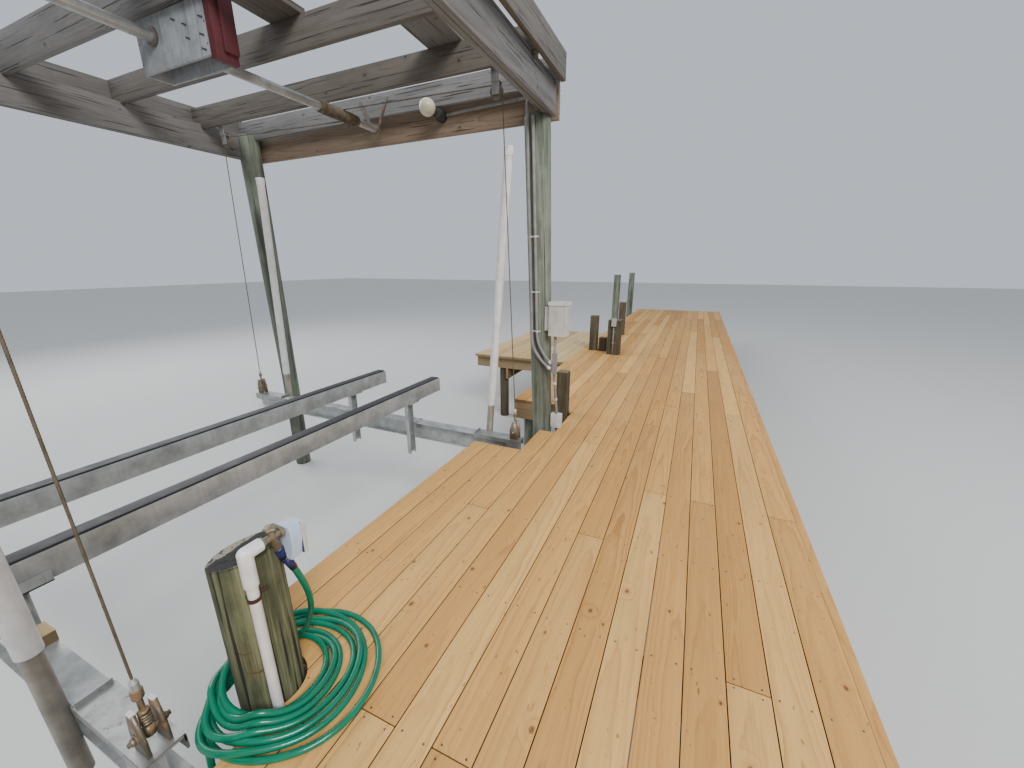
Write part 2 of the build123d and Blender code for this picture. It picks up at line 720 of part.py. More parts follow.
def bunk_bracket(x, y, inward):
    # A saddle under the bunk, a foot on the beam and a channel arm down the beam's inner side
    bunk_bottom = BUNK_TOP - BUNK_DEEP
    half = BUNK_WIDTH / 2 + BUNK_PLATE_LIP
    face = y + inward * BEAM_FLANGE / 2
    end = face + inward * ARM_DEEP
    y0, y1 = min(face, end), max(face, end)
    arm_bottom = BEAM_TOP - ARM_DROP
    x0, x1 = x - ARM_WIDTH / 2, x + ARM_WIDTH / 2
    part = block(x0, x1, y0, y1, arm_bottom, bunk_bottom)
    part -= block(x0 + ARM_WALL, x1, y0 + ARM_WALL, y1 - ARM_WALL, arm_bottom, bunk_bottom)
    low, high = min(y, end), max(y, end)
    part += block(x - half - 6, x + half + 6, low, high, bunk_bottom - 6, bunk_bottom)
    for side_x in (x - half - 6, x + half):
        part += block(side_x, side_x + 6, low, high, bunk_bottom - 6, bunk_bottom + 45)
    foot_y = sorted((y - inward * BEAM_FLANGE / 2, face + inward * ARM_WALL))
    part += block(x - 50, x + 50, *foot_y, BEAM_TOP, BEAM_TOP + 8)
    return part


def make_bunk(name, x):
    x0, x1 = x - BUNK_WIDTH / 2, x + BUNK_WIDTH / 2
    start = NEAR_FALL_Y - BUNK_OVERHANG
    end = FAR_FALL_Y + BUNK_OVERHANG
    bottom = BUNK_TOP - BUNK_DEEP
    body_top = BUNK_TOP - BUNK_STRIP
    body = block(x0, x1, start, end, bottom, body_top)
    lip = BUNK_PLATE_LIP
    for y0 in (start - BUNK_PLATE, end):
        body += block(x0 - lip, x1 + lip, y0, y0 + BUNK_PLATE, bottom - lip, body_top + lip)
    add(f"bunk_{name}", body)
    add("bunk_strips", block(x0 + lip, x1 - lip, start, end, body_top, BUNK_TOP))
    add("bunk_brackets", bunk_bracket(x, NEAR_FALL_Y, 1), bunk_bracket(x, FAR_FALL_Y, -1))


# Guide posts: which yoke, foot offset from it along X, and lean towards +X at the top
GUIDES = {
    ("far", "inner"): (-304, 217),
    ("far", "outer"): (329, 102),
    ("near", "inner"): (-416, -158),
    ("near", "outer"): (347, 60),
}


def make_guide(place, side):
    offset, lean = GUIDES[(place, side)]
    yoke_x, _, fall_y = fall_ends(place, side)
    away = 1 if place == "far" else -1
    y = fall_y + away * (BEAM_FLANGE / 2 + GUIDE_R)
    foot_x = yoke_x + offset

    def point(z):
        return (foot_x + lean * (z - GUIDE_FOOT) / (GUIDE_TOP - GUIDE_FOOT), y, z)

    add("guide_posts", leaning_rod(point(GUIDE_FOOT), point(GUIDE_TOP), GUIDE_R))
    sleeve = leaning_rod(point(GUIDE_SLEEVE_FOOT), point(GUIDE_TOP), GUIDE_SLEEVE_R)
    sleeve += leaning_rod(point(GUIDE_TOP - GUIDE_CAP), point(GUIDE_TOP + 5), GUIDE_SLEEVE_R + 3)
    add("guide_sleeves", sleeve - leaning_rod(point(GUIDE_FOOT), point(GUIDE_TOP), GUIDE_R))


def make_cradle():
    for place in ("near", "far"):
        inner_x, _, y = fall_ends(place, "inner")
        outer_x = fall_ends(place, "outer")[0]
        beam = i_beam(outer_x - BEAM_PAST_YOKE, inner_x + BEAM_PAST_YOKE, y, BEAM_TOP)
        add("cradle_beams", beam)
        for side, x in (("inner", inner_x), ("outer", outer_x)):
            add("cable_yokes", yoke(x, y, side))
            make_guide(place, side)
    make_bunk("outer", BUNK_MIDDLE_X - BUNK_SPREAD / 2)
    make_bunk("inner", BUNK_MIDDLE_X + BUNK_SPREAD / 2)


# Water pipe, tap, timer and hose
WATER_PIPE_R = 16.5
WATER_PIPE_ANGLE = -26.9
ELBOW_R = 21.5
ELBOW_LENGTH = 50
ELBOW_RISE = 633
ELBOW_Z = DECK_TOP + ELBOW_RISE
COUPLING_BOTTOM = ELBOW_Z - 113
TAP_LENGTH = 75
TIMER_WIDTH = 74
TIMER_BODY = 55
TIMER_COVER = 22
TIMER_TOP = ELBOW_Z + 22
TIMER_BOTTOM = ELBOW_Z - 110
HOSE_R = 11
HOSE_FITTING_R = 17
HOSE_START = (100, 90, 1565)
COIL_CENTRE = (112, 51)
COIL_RADII = (272, 281)
COIL_HOLE_CENTRE = (20, -5)
COIL_HOLE_R = 140
COIL_HEIGHT = 70
COIL_TOP = DECK_TOP + COIL_HEIGHT
HOSE_END_R = 14
HOSE_END_LENGTH = 45


def make_water_supply():
    angle = math.radians(WATER_PIPE_ANGLE)
    reach = HOSE_PILING_R + ELBOW_R
    x = reach * math.cos(angle)
    y = reach * math.sin(angle)
    pipe = round_post(x, y, DECK_TOP, ELBOW_Z, WATER_PIPE_R)
    pipe += round_post(x, y, COUPLING_BOTTOM, ELBOW_Z, ELBOW_R)
    pipe += Pos(x, y, ELBOW_Z) * Sphere(ELBOW_R)
    pipe += rod_y(x, ELBOW_Z, y, y + ELBOW_LENGTH, ELBOW_R)
    add("water_pipe", pipe)
    # The tap screws into the elbow, with its handle on top
    tap_start = y + ELBOW_LENGTH
    tap = rod_y(x, ELBOW_Z, tap_start, tap_start + TAP_LENGTH, 13)
    tap += round_post(x, tap_start + TAP_LENGTH / 2, ELBOW_Z, ELBOW_Z + 38, 8)
    tap += round_post(x, tap_start + TAP_LENGTH / 2, ELBOW_Z + 26, ELBOW_Z + 38, 22)
    add("tap", tap)
    body_y = tap_start + TAP_LENGTH
    half = TIMER_WIDTH / 2
    with BuildSketch(Plane.XZ) as front:
        with BuildLine():
            Polyline(
                (x - half, TIMER_TOP),
                (x + half, TIMER_TOP),
                (x + half, ELBOW_Z - 40),
                (x + half * 0.6, TIMER_BOTTOM),
                (x - half * 0.6, TIMER_BOTTOM),
                (x - half, ELBOW_Z - 40),
                close=True,
            )
        make_face()
    timer = extrude(front.sketch, TIMER_BODY)
    timer = Pos(0, body_y - timer.bounding_box().min.Y, 0) * timer
    cover_y = body_y + TIMER_BODY
    timer += block(x - half + 4, x + half - 4, cover_y, cover_y + TIMER_COVER, TIMER_BOTTOM, TIMER_TOP - 12)
    add("water_timer", timer)
    socket = (x, body_y + TIMER_BODY / 2, TIMER_BOTTOM)
    add("hose_fitting", leaning_rod(HOSE_START, socket, HOSE_FITTING_R))


def smooth_tube(points, radius):
    # Each arc is as large as its two runs allow
    radii = []
    for before, corner, after in zip(points, points[1:], points[2:]):
        first = Vector(*corner) - Vector(*before)
        second = Vector(*after) - Vector(*corner)
        half_turn = math.radians(first.get_angle(second)) / 2
        radii.append(0.45 * min(first.length, second.length) / math.tan(half_turn))
    with BuildLine() as path:
        FilletPolyline(*points, radius=radii)
    spine = path.wire()
    section = Plane(origin=spine @ 0, z_dir=spine % 0) * Circle(radius)
    tube = sweep(section, spine).solid()
    expected = math.pi * radius**2 * spine.length
    print("tube length", round(spine.length), "radii", [round(r) for r in radii])
    print("tube volume ratio", round(tube.volume / expected, 4))
    return tube


def make_hose():
    with BuildSketch(Plane.XY.offset(DECK_TOP)) as ring:
        with Locations(COIL_CENTRE):
            Ellipse(*COIL_RADII)
        with Locations(COIL_HOLE_CENTRE):
            Circle(COIL_HOLE_R, mode=Mode.SUBTRACT)
    add("hose_coil", extrude(ring.sketch, COIL_HEIGHT))
    lead = [
        HOSE_START,
        (101, 114, 1490),
        (90, 136, 1405),
        (62, 153, 1320),
        (22, 165, 1245),
        (-25, 166, COIL_TOP),
    ]
    add("hose_lead", smooth_tube(lead, HOSE_R))
    tail = [
        (-118, -88, DECK_TOP + 42),
        (-96, -152, DECK_TOP + 34),
        (-58, -200, DECK_TOP - 20),
        (-36, -216, DECK_TOP - 110),
        (-32, -220, DECK_TOP - 210),
    ]
    add("hose_tail", smooth_tube(tail, HOSE_R))
    x, y, z = tail[-1]
    add("hose_end", round_post(x, y, z - HOSE_END_LENGTH, z, HOSE_END_R))


# Electric box, conduits and lamps
CONDUIT_R = 12
CONDUIT_OFFSETS = (-40, 7)
CONDUIT_BENDS = (DECK_TOP + 760, DECK_TOP + 810)
CONDUIT_TOP = LIFT_TOP - 25
BOX_RISE = 866
BOX_BOTTOM = DECK_TOP + BOX_RISE
BOX_HEIGHT = 285
BOX_X = LIFT_X + 95
BOX_WIDTH = 155
BOX_DEPTH = 110
JUNCTION_WIDTH = 97
JUNCTION_HEIGHT = 135
JUNCTION_DEPTH = 60
TEE_Z = DECK_TOP + 555
FLOOD_X = PIPE_X + 655
FLOOD_Z = HEADER_TOP - 92
FLOOD_R = 48
GLOBE_R = 68


def conduit_point(offset, z):
    # On the near side of the lift piling, which leans and widens upwards
    reach = lift_piling_radius(z) + CONDUIT_R + RUNNING_GAP
    y = LIFT_FAR_Y - math.sqrt(reach**2 - offset**2)
    return lift_piling_x("inner", z) + offset, y, z


def make_conduits():
    tee_x = LIFT_X + 148
    tee_y = LIFT_FAR_Y - lift_piling_radius(CONDUIT_BENDS[1]) - CONDUIT_R - 2 * RUNNING_GAP
    # The first conduit goes on over the piling and along the end plank to the flood lamp
    plank_y = LIFT_FAR_Y + END_PLANK_FACE - CONDUIT_R
    lamp_run = [
        (FLOOD_X + FLOOD_R, plank_y, FLOOD_Z + 8),
        (LIFT_X - 740, plank_y, FLOOD_Z + 18),
        (LIFT_X - 290, plank_y, FLOOD_Z + 30),
        (LIFT_X - 160, plank_y - 45, FLOOD_Z + 18),
        (LIFT_X - 115, LIFT_FAR_Y - 112, LIFT_TOP + 90),
    ]
    starts = (lamp_run, [])
    for start, offset, bend in zip(starts, CONDUIT_OFFSETS, CONDUIT_BENDS):
        top = conduit_point(offset, CONDUIT_TOP)
        corner = (conduit_point(offset, bend)[0], tee_y, bend)
        run = [
            *start,
            (*top[:2], CONDUIT_TOP - 60) if start else top,
            corner,
            ((corner[0] + tee_x) / 2, tee_y, bend - 130),
            (tee_x - 8, tee_y, bend - 195),
        ]
        add("conduits", smooth_tube(run, CONDUIT_R))
    foot = DECK_TOP + JUNCTION_HEIGHT
    add("conduits", block(tee_x - 8, tee_x + 28, tee_y - 18, tee_y + 22, TEE_Z - 20, TEE_Z + 165))
    add("conduits", leaning_rod((tee_x + 12, LIFT_FAR_Y - 10, foot), (tee_x + 10, tee_y, TEE_Z - 20), CONDUIT_R))
    box_foot = (BOX_X + 50, LIFT_FAR_Y - 60, BOX_BOTTOM)
    add("conduits", leaning_rod((tee_x + 12, tee_y, TEE_Z + 165), box_foot, CONDUIT_R))


def make_services():
    # The electric box is held off the landward side of the inner far piling by a block
    y0 = LIFT_FAR_Y - BOX_DEPTH
    top = BOX_BOTTOM + BOX_HEIGHT
    box = block(BOX_X, BOX_X + BOX_WIDTH, y0, y0 + BOX_DEPTH, BOX_BOTTOM, top)
    box += block(BOX_X, BOX_X + BOX_WIDTH + 8, y0 - 8, y0 + BOX_DEPTH, top - 25, top)
    mount = block(LIFT_X + 50, BOX_X, y0 + 30, LIFT_FAR_Y, BOX_BOTTOM + 40, top - 40)
    add("electric_box", box + (mount - lift_piling("inner", LIFT_FAR_Y)))
    junction_x = LIFT_PILING_X["inner"] + LIFT_PILING_R + BOARD_GAP
    junction_y = LIFT_FAR_Y - JUNCTION_DEPTH / 2
    junction_top = DECK_TOP + JUNCTION_HEIGHT
    add(
        "junction_box",
        block(
            junction_x,
            junction_x + JUNCTION_WIDTH,
            junction_y,
            junction_y + JUNCTION_DEPTH,
            DECK_TOP,
            junction_top,
        ),
    )
    make_conduits()
    x, y, half, top, _ = STUBS["outlet"]
    add("outlet_box", block(x - 38, x + 38, y - half - 50, y - half, top - 94, top + 31))


def make_lamps():
    # A round base on the far end plank carries a flood lamp and a globe on a short arm
    face = LIFT_FAR_Y + END_PLANK_FACE
    flood = rod_y(FLOOD_X, FLOOD_Z, face - 36, face, FLOOD_R)
    flood += rod_y(FLOOD_X + 10, FLOOD_Z + 4, face - 110, face - 36, 40)
    add("flood_lamp", flood)
    x, z = FLOOD_X - 25, FLOOD_Z + 26
    globe = Pos(x, face - 190, z) * Sphere(GLOBE_R)
    globe += rod_y(x - 37, z - 4, face - 190, face, 11)
    add("lift_lamp", globe)


def build_all():
    make_deck()
    make_frame()
    make_lift_frame()
    make_pilings()
    make_finger()
    make_drive()
    make_gear_cover()
    make_sheaves()
    make_cradle()
    make_water_supply()
    make_hose()
    make_services()
    make_lamps()


build_all()
os.makedirs("parts", exist_ok=True)
for node, solids in parts.items():
    shape = solids[0] if len(solids) == 1 else Compound(children=solids)
    export_step(shape, os.path.join("parts", node + ".step"))
print(len(parts), "nodes")
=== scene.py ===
import json
import math
import random

import bmesh
import bpy
from mathutils import Matrix, Vector, noise


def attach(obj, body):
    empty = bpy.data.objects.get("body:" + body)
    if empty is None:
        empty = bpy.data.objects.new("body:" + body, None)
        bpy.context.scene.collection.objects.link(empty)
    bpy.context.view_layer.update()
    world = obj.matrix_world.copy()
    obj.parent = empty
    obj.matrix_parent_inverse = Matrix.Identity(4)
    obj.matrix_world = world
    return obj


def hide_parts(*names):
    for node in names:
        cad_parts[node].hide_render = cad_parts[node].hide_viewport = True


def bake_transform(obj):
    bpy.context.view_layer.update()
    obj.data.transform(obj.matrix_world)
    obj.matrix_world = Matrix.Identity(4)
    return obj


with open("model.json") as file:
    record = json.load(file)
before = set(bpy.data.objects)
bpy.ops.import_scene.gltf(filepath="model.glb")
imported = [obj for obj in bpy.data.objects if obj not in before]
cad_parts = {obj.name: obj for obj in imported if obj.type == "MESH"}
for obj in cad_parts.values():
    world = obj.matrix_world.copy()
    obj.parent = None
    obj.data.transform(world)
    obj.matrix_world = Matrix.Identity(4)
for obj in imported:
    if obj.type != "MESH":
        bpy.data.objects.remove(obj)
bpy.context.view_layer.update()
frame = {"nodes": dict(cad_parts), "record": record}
NODES = frame["nodes"]
SLOTS = {part["node"]: part["material_slot"] for part in frame["record"]["subparts"]}
BODY = {node: body for body, nodes in frame["record"]["behaviour"]["bodies"].items() for node in nodes}
UP = Vector((0, 0, 1))
ALONG = Vector((0, 1, 0))

DECK_Z = 1.100
JOIST_PITCH = 0.610
FIRST_JOIST = 0.060
LIFT_NEAR_Y = -0.690
LIFT_FAR_Y = 2.710
PIPE_X = -1.620
PIPE_Z = 3.747


def add_object(name, data):
    made = bpy.data.objects.new(name, data)
    bpy.context.scene.collection.objects.link(made)
    return made


# Camera
CAMERA_PLACE = (1.25, -0.65, 2.558)
CAMERA_LENS = 14.187
CAMERA_TURN = 24.094
CAMERA_TILT = 16.576
CAMERA_ROLL = -0.092


def make_camera():
    data = bpy.data.cameras.new("camera")
    data.sensor_width = 36
    data.lens = CAMERA_LENS
    data.clip_start = 0.02
    data.clip_end = 200
    camera = add_object("camera", data)
    turn = Matrix.Rotation(math.radians(CAMERA_TURN), 4, "Z")
    tilt = Matrix.Rotation(math.radians(90 - CAMERA_TILT), 4, "X")
    roll = Matrix.Rotation(math.radians(CAMERA_ROLL), 4, "Z")
    camera.matrix_world = Matrix.Translation(CAMERA_PLACE) @ turn @ tilt @ roll
    bpy.context.scene.camera = camera


# Materials
MATERIALS = {}


def shade(color, share):
    return tuple(share * c for c in color)


class Shader:
    """A procedural material. Its methods add nodes and give back their output."""

    def __init__(self, name, roughness=0.6, metallic=0.0):
        self.material = bpy.data.materials.new(name)
        MATERIALS[name] = self.material
        self.material.use_nodes = True
        self.tree = self.material.node_tree
        self.surface = self.tree.nodes["Principled BSDF"]
        self.surface.inputs["Roughness"].default_value = roughness
        self.surface.inputs["Metallic"].default_value = metallic

    def put(self, socket, value):
        if isinstance(value, bpy.types.NodeSocket):
            self.tree.links.new(value, socket)
        elif value is not None:
            if socket.type == "RGBA" and len(value) == 3:
                value = (*value, 1)
            socket.default_value = value

    def node(self, kind, inputs=(), **settings):
        made = self.tree.nodes.new(kind)
        for key, value in settings.items():
            setattr(made, key, value)
        for key, value in dict(inputs).items():
            self.put(made.inputs[key], value)
        return made

    def math(self, operation, a, b=None):
        made = self.node("ShaderNodeMath", operation=operation)
        for socket, value in zip(made.inputs, (a, b)):
            self.put(socket, value)
        return made.outputs[0]

    def times(self, a, b):
        return self.math("MULTIPLY", a, b)

    def plus(self, a, b):
        return self.math("ADD", a, b)

    def less(self, a, b):
        return self.math("SUBTRACT", a, b)

    def vector(self, operation, a, b=None):
        made = self.node("ShaderNodeVectorMath", operation=operation)
        self.put(made.inputs[0], a)
        self.put(made.inputs["Scale" if operation == "SCALE" else 1], b)
        return made.outputs["Value" if operation == "LENGTH" else "Vector"]

    def attribute(self, name, output="Vector"):
        return self.node("ShaderNodeAttribute", attribute_name=name).outputs[output]

    def place(self):
        return self.node("ShaderNodeTexCoord").outputs["Object"]

    def parts(self, vector):
        return self.node("ShaderNodeSeparateXYZ", {"Vector": vector}).outputs

    def facing(self):
        return self.parts(self.node("ShaderNodeNewGeometry").outputs["Normal"])

    def scaled(self, vector, scale):
        return self.vector("MULTIPLY", vector, scale)

    def noise(self, vector, scale, detail=3.0, roughness=0.55, output="Fac"):
        made = self.node("ShaderNodeTexNoise", {"Vector": vector, "Scale": scale, "Detail": detail,
                                                "Roughness": roughness})
        return made.outputs[output]

    def drawn(self, vector, scale, detail=3.0, roughness=0.55, output="Fac"):
        """Noise that is drawn out by its own scale on each axis."""
        return self.noise(self.scaled(vector, scale), 1.0, detail, roughness, output)

    def spread(self, value, low, high, to_low=0.0, to_high=1.0):
        made = self.node("ShaderNodeMapRange", {"Value": value, "From Min": low, "From Max": high,
                                                "To Min": to_low, "To Max": to_high})
        return made.outputs[0]

    def ramp(self, value, *stops):
        made = self.node("ShaderNodeValToRGB", {"Fac": value})
        points = made.color_ramp.elements
        while len(points) < len(stops):
            points.new(0.5)
        for point, (position, color) in zip(points, stops):
            point.position = position
            point.color = (*color, 1)
        return made.outputs[0]

    def mix(self, share, a, b, blend="MIX"):
        made = self.node("ShaderNodeMix", data_type="RGBA", blend_type=blend)
        self.put(made.inputs[0], share)
        self.put(made.inputs[6], a)
        self.put(made.inputs[7], b)
        return made.outputs[2]

    def color(self, value):
        self.put(self.surface.inputs["Base Color"], value)

    def rough(self, value):
        self.put(self.surface.inputs["Roughness"], value)

    def bump(self, height, distance, strength=1.0):
        made = self.node("ShaderNodeBump", {"Height": height, "Distance": distance, "Strength": strength})
        last = self.surface.inputs["Normal"]
        if last.links:
            self.tree.links.new(last.links[0].from_socket, made.inputs["Normal"])
        self.tree.links.new(made.outputs[0], last)


KNOT_CELL_LENGTH = 0.42
KNOT_CELL_WIDTH = 0.10


def wood(name, light, mid, dark, knot, ring=0.007, bold=0.5, knots=0.4, tone=0.35, checks=0.0, dirt=0.2,
         relief=0.0006, specks=0.0, side_shade=1.0):
    """Sawn timber: soft fibres, rings round a pith, knots, checks along the grain, dirt and painted shade on
    the sides that face the gaps.
    """
    s = Shader(name, roughness=0.7)
    grain = s.attribute("grain")
    board = s.attribute("tone", "Fac")
    wander = s.drawn(grain, (0.7, 0.0, 0.0), 2.0, output="Color")
    wander = s.vector("SUBTRACT", wander, (0.5, 0.5, 0.5))
    wander = s.scaled(wander, (0.0, 0.12, 0.08))
    wave = s.drawn(grain, (5.0, 26.0, 26.0))
    # Knots stand in cells along the board, each of its own size
    cells = s.scaled(grain, (1 / KNOT_CELL_LENGTH, 1 / KNOT_CELL_WIDTH, 0.0))
    cell = s.node("ShaderNodeTexVoronoi", {"Vector": cells, "Scale": 1.0, "Randomness": 0.95})
    away = s.vector("SUBTRACT", cells, cell.outputs["Position"])
    away = s.scaled(away, (KNOT_CELL_LENGTH * 0.7, KNOT_CELL_WIDTH, 0.0))
    distance = s.plus(s.vector("LENGTH", away), s.times(s.noise(grain, 90.0), 0.006))
    chance = s.node("ShaderNodeSeparateColor", {"Color": cell.outputs["Color"]}).outputs
    size = s.spread(chance[0], 1 - knots, 1.0, 0.0, 0.013)
    near = s.math("DIVIDE", distance, s.plus(size, 0.0001))
    swirl = s.times(s.spread(near, 0.0, 4.0, 1.0, 0.0), s.times(size, 1.1))
    # Growth rings round a pith that lies beside the board, and fibres between them
    centre = s.vector("ADD", s.scaled(grain, (0.014, 1.0, 1.0)), wander)
    radius = s.vector("LENGTH", s.scaled(centre, (0.6, 1.0, 1.0)))
    radius = s.plus(s.plus(radius, s.times(wave, 0.007)), swirl)
    phase = s.math("FRACT", s.math("DIVIDE", radius, ring))
    rings = s.ramp(phase, (0.0, light), (0.35, light), (0.75, mid), (0.9, dark), (1.0, light))
    streaks = s.drawn(grain, (1.1, 75.0, 75.0), 4.0, 0.6)
    plain = s.ramp(streaks, (0.3, mid), (0.48, light), (0.68, mid), (0.80, dark))
    ringed = s.spread(s.drawn(grain, (0.8, 7.0, 7.0), 2.0), 0.35, 0.65, 0.25 * bold, bold)
    base = s.mix(ringed, plain, rings)
    pores = s.drawn(grain, (7.0, 380.0, 380.0), 3.0, 0.7)
    base = s.mix(s.spread(pores, 0.35, 0.75, 0.0, 0.65), base, mid)
    base = s.mix(s.spread(s.drawn(grain, (1.0, 8.0, 8.0)), 0.4, 0.75, 0.0, 0.5), base, mid)
    # A halo round each knot, and then its core
    base = s.mix(s.spread(near, 1.0, 2.6, 0.6, 0.0), base, mid)
    core = s.mix(s.spread(s.noise(away, 160.0, 2.0), 0.4, 0.65), knot, dark)
    base = s.mix(s.spread(near, 0.75, 1.2, 1.0, 0.0), base, core)
    lines = s.drawn(grain, (1.9, 95.0, 60.0), 2.0, 0.5)
    split = s.spread(lines, 0.70 - 0.09 * checks, 0.74 - 0.09 * checks)
    if checks:
        base = s.mix(s.times(split, 0.85), base, shade(dark, 0.25))
    stain = s.drawn(grain, (1.6, 5.0, 5.0), 5.0, 0.65)
    base = s.mix(s.spread(stain, 0.45, 0.8, 0.0, dirt), base, shade(mid, 0.45))
    if specks:
        fleck = s.drawn(grain, (26.0, 55.0, 55.0), 2.0, 0.5)
        base = s.mix(s.spread(fleck, 0.70, 0.76, 0.0, specks), base, shade(dark, 0.5))
    if side_shade < 1:
        # Painted shade: the boards' long sides, and less so their ends, face the narrow gaps and are
        # darkened to look shaded
        normal = s.facing()
        endways = s.times(s.math("ABSOLUTE", normal[1]), 0.65)
        sideways = s.math("MAXIMUM", s.math("ABSOLUTE", normal[0]), endways)
        base = s.mix(s.spread(sideways, 0.35, 0.75, 0.0, 1 - side_shade), base, shade(dark, 0.18))
    warm = s.mix(1.0, base, (1.0, 0.82, 0.62), "MULTIPLY")
    base = s.mix(s.spread(board, 0.1, 0.9, 0.75, 0.0), base, warm)
    s.color(s.vector("SCALE", base, s.spread(board, 0.0, 1.0, 1 - tone, 1 + tone * 0.3)))
    s.rough(s.spread(pores, 0.3, 0.8, 0.62, 0.85))
    height = s.less(s.times(pores, 0.5), s.times(split, 2.0 * checks))
    s.bump(s.plus(height, s.times(streaks, 0.5)), relief)


# The cut top's stain: where the black begins in x, and the slope and height of the band below it
STAIN_EDGE = (-0.060, -0.048)
BAND_SLOPE = 0.28
BAND_Z = 1.672
# Cracks across the hose piling: height above the water and reach in x
CRACKS = ((1.350, 0.015, 0.072), (1.268, 0.042, 0.090))


def stain_and_cracks(s, base, grain, up, end):
    """The hose piling's part black cut top, the black band below it and two cracks."""
    x, y, z = s.parts(s.place())
    ragged = s.times(s.less(s.noise(grain, 34.0, 4.0, 0.7), 0.5), 0.05)
    across = s.spread(s.plus(x, ragged), *STAIN_EDGE)
    fibres = s.drawn(grain, (1.0, 14.0, 90.0), 4.0, 0.7)
    tan = s.ramp(fibres, (0.3, (0.10, 0.085, 0.065)), (0.5, (0.30, 0.26, 0.20)), (0.7, (0.20, 0.17, 0.13)))
    base = s.mix(end, base, s.mix(across, tan, (0.016, 0.015, 0.014)))
    level = s.plus(s.less(z, s.plus(s.times(x, BAND_SLOPE), BAND_Z)), ragged)
    band = s.times(s.spread(level, -0.018, -0.008), s.spread(up, 0.5, 0.7, 1.0, 0.0))
    base = s.mix(s.times(band, 0.9), base, (0.018, 0.016, 0.013))
    for height, first, last in CRACKS:
        away = s.math("ABSOLUTE", s.plus(s.less(z, height), s.times(ragged, 0.5)))
        reach = s.times(s.spread(x, first, first + 0.01), s.spread(x, last - 0.01, last, 1.0, 0.0))
        reach = s.times(reach, s.spread(y, -0.04, -0.03, 1.0, 0.0))
        base = s.mix(s.times(reach, s.spread(away, 0.002, 0.0045, 0.95, 0.0)), base, (0.02, 0.015, 0.01))
        base = s.mix(s.times(reach, s.spread(away, 0.010, 0.045, 0.45, 0.0)), base, (0.12, 0.085, 0.04))
    return base


def piling(name, light, mid, dark, crack=0.5, rings=0.005, stained=False):
    """Round treated post: upright fibres, brown streaks, checks and rings on the cut top."""
    s = Shader(name, roughness=0.85)
    grain = s.attribute("grain")
    board = s.attribute("tone", "Fac")
    wide = s.drawn(grain, (0.9, 14.0, 14.0), 4.0, 0.6)
    fibre = s.drawn(grain, (3.0, 120.0, 120.0), 4.0, 0.7)
    blot = s.drawn(grain, (4.0, 6.0, 6.0), 4.0, 0.6)
    base = s.ramp(wide, (0.30, dark), (0.45, mid), (0.58, light), (0.75, mid))
    base = s.mix(s.spread(fibre, 0.35, 0.7, 0.0, 0.85), base, dark)
    base = s.mix(s.spread(blot, 0.5, 0.75, 0.0, 0.55), base, light)
    radius = s.vector("LENGTH", s.scaled(grain, (0.0, 1.0, 1.0)))
    radius = s.plus(radius, s.times(s.noise(grain, 9.0, 2.0), 0.012))
    phase = s.math("FRACT", s.math("DIVIDE", radius, rings))
    up = s.facing()[2]
    end = s.spread(up, 0.75, 0.9)
    base = s.mix(end, base, s.mix(s.spread(phase, 0.55, 0.95, 0.0, 0.5), shade(light, 1.35), mid))
    if stained:
        base = stain_and_cracks(s, base, grain, up, end)
    line = s.drawn(grain, (1.3, 48.0, 48.0), 2.0, 0.5)
    split = s.spread(line, 0.72 - 0.10 * crack, 0.755 - 0.10 * crack)
    base = s.mix(s.times(split, 0.9), base, shade(dark, 0.18))
    s.color(s.vector("SCALE", base, s.spread(board, 0.0, 1.0, 0.8, 1.12)))
    s.bump(s.less(fibre, s.times(split, 1.6)), 0.0016)


def metal(name, color, dull, roughness, metallic, rust=0.0, rust_color=(0.16, 0.06, 0.02), scale=1.0):
    """Weathered metal with streaks, blotches and as much rust as asked."""
    s = Shader(name, metallic=metallic)
    place = s.place()
    blotch = s.noise(place, 9.0 * scale, 5.0, 0.6)
    streak = s.drawn(place, (60.0 * scale, 60.0 * scale, 3.0 * scale))
    fine = s.noise(place, 300.0 * scale, 2.0)
    base = s.mix(s.spread(blotch, 0.35, 0.7), color, dull)
    base = s.mix(s.spread(streak, 0.5, 0.8, 0.0, 0.5), base, dull)
    spots = s.noise(place, 26.0 * scale, 6.0, 0.75)
    if rust:
        share = s.spread(spots, 0.72 - 0.32 * rust, 0.80 - 0.30 * rust)
        base = s.mix(share, base, s.mix(s.spread(fine, 0.3, 0.7), rust_color, shade(rust_color, 1.9)))
        s.put(s.surface.inputs["Metallic"], s.spread(share, 0.0, 1.0, metallic, 0.0))
        s.rough(s.spread(share, 0.0, 1.0, roughness, 0.9))
    else:
        s.rough(s.spread(blotch, 0.3, 0.7, roughness - 0.1, roughness + 0.15))
    s.color(base)
    s.bump(fine, 0.0002, 0.5)
    s.bump(spots, 0.0006 if rust else 0.0002, 0.6)


def plastic(name, color, worn, roughness, streaks):
    """Moulded or painted surface with light dirt and faint streaks that run down."""
    s = Shader(name, roughness=roughness)
    place = s.place()
    blotch = s.noise(place, 14.0, 5.0, 0.6)
    streak = s.drawn(place, (45.0, 45.0, 2.5), 4.0, 0.6)
    base = s.mix(s.spread(blotch, 0.4, 0.75), color, worn)
    base = s.mix(s.spread(streak, 0.52, 0.75, 0.0, streaks), base, shade(worn, 0.45))
    s.color(base)
    s.rough(s.spread(blotch, 0.3, 0.7, roughness - 0.06, roughness + 0.12))
    s.bump(s.noise(place, 420.0, 2.0), 0.0001, 0.4)


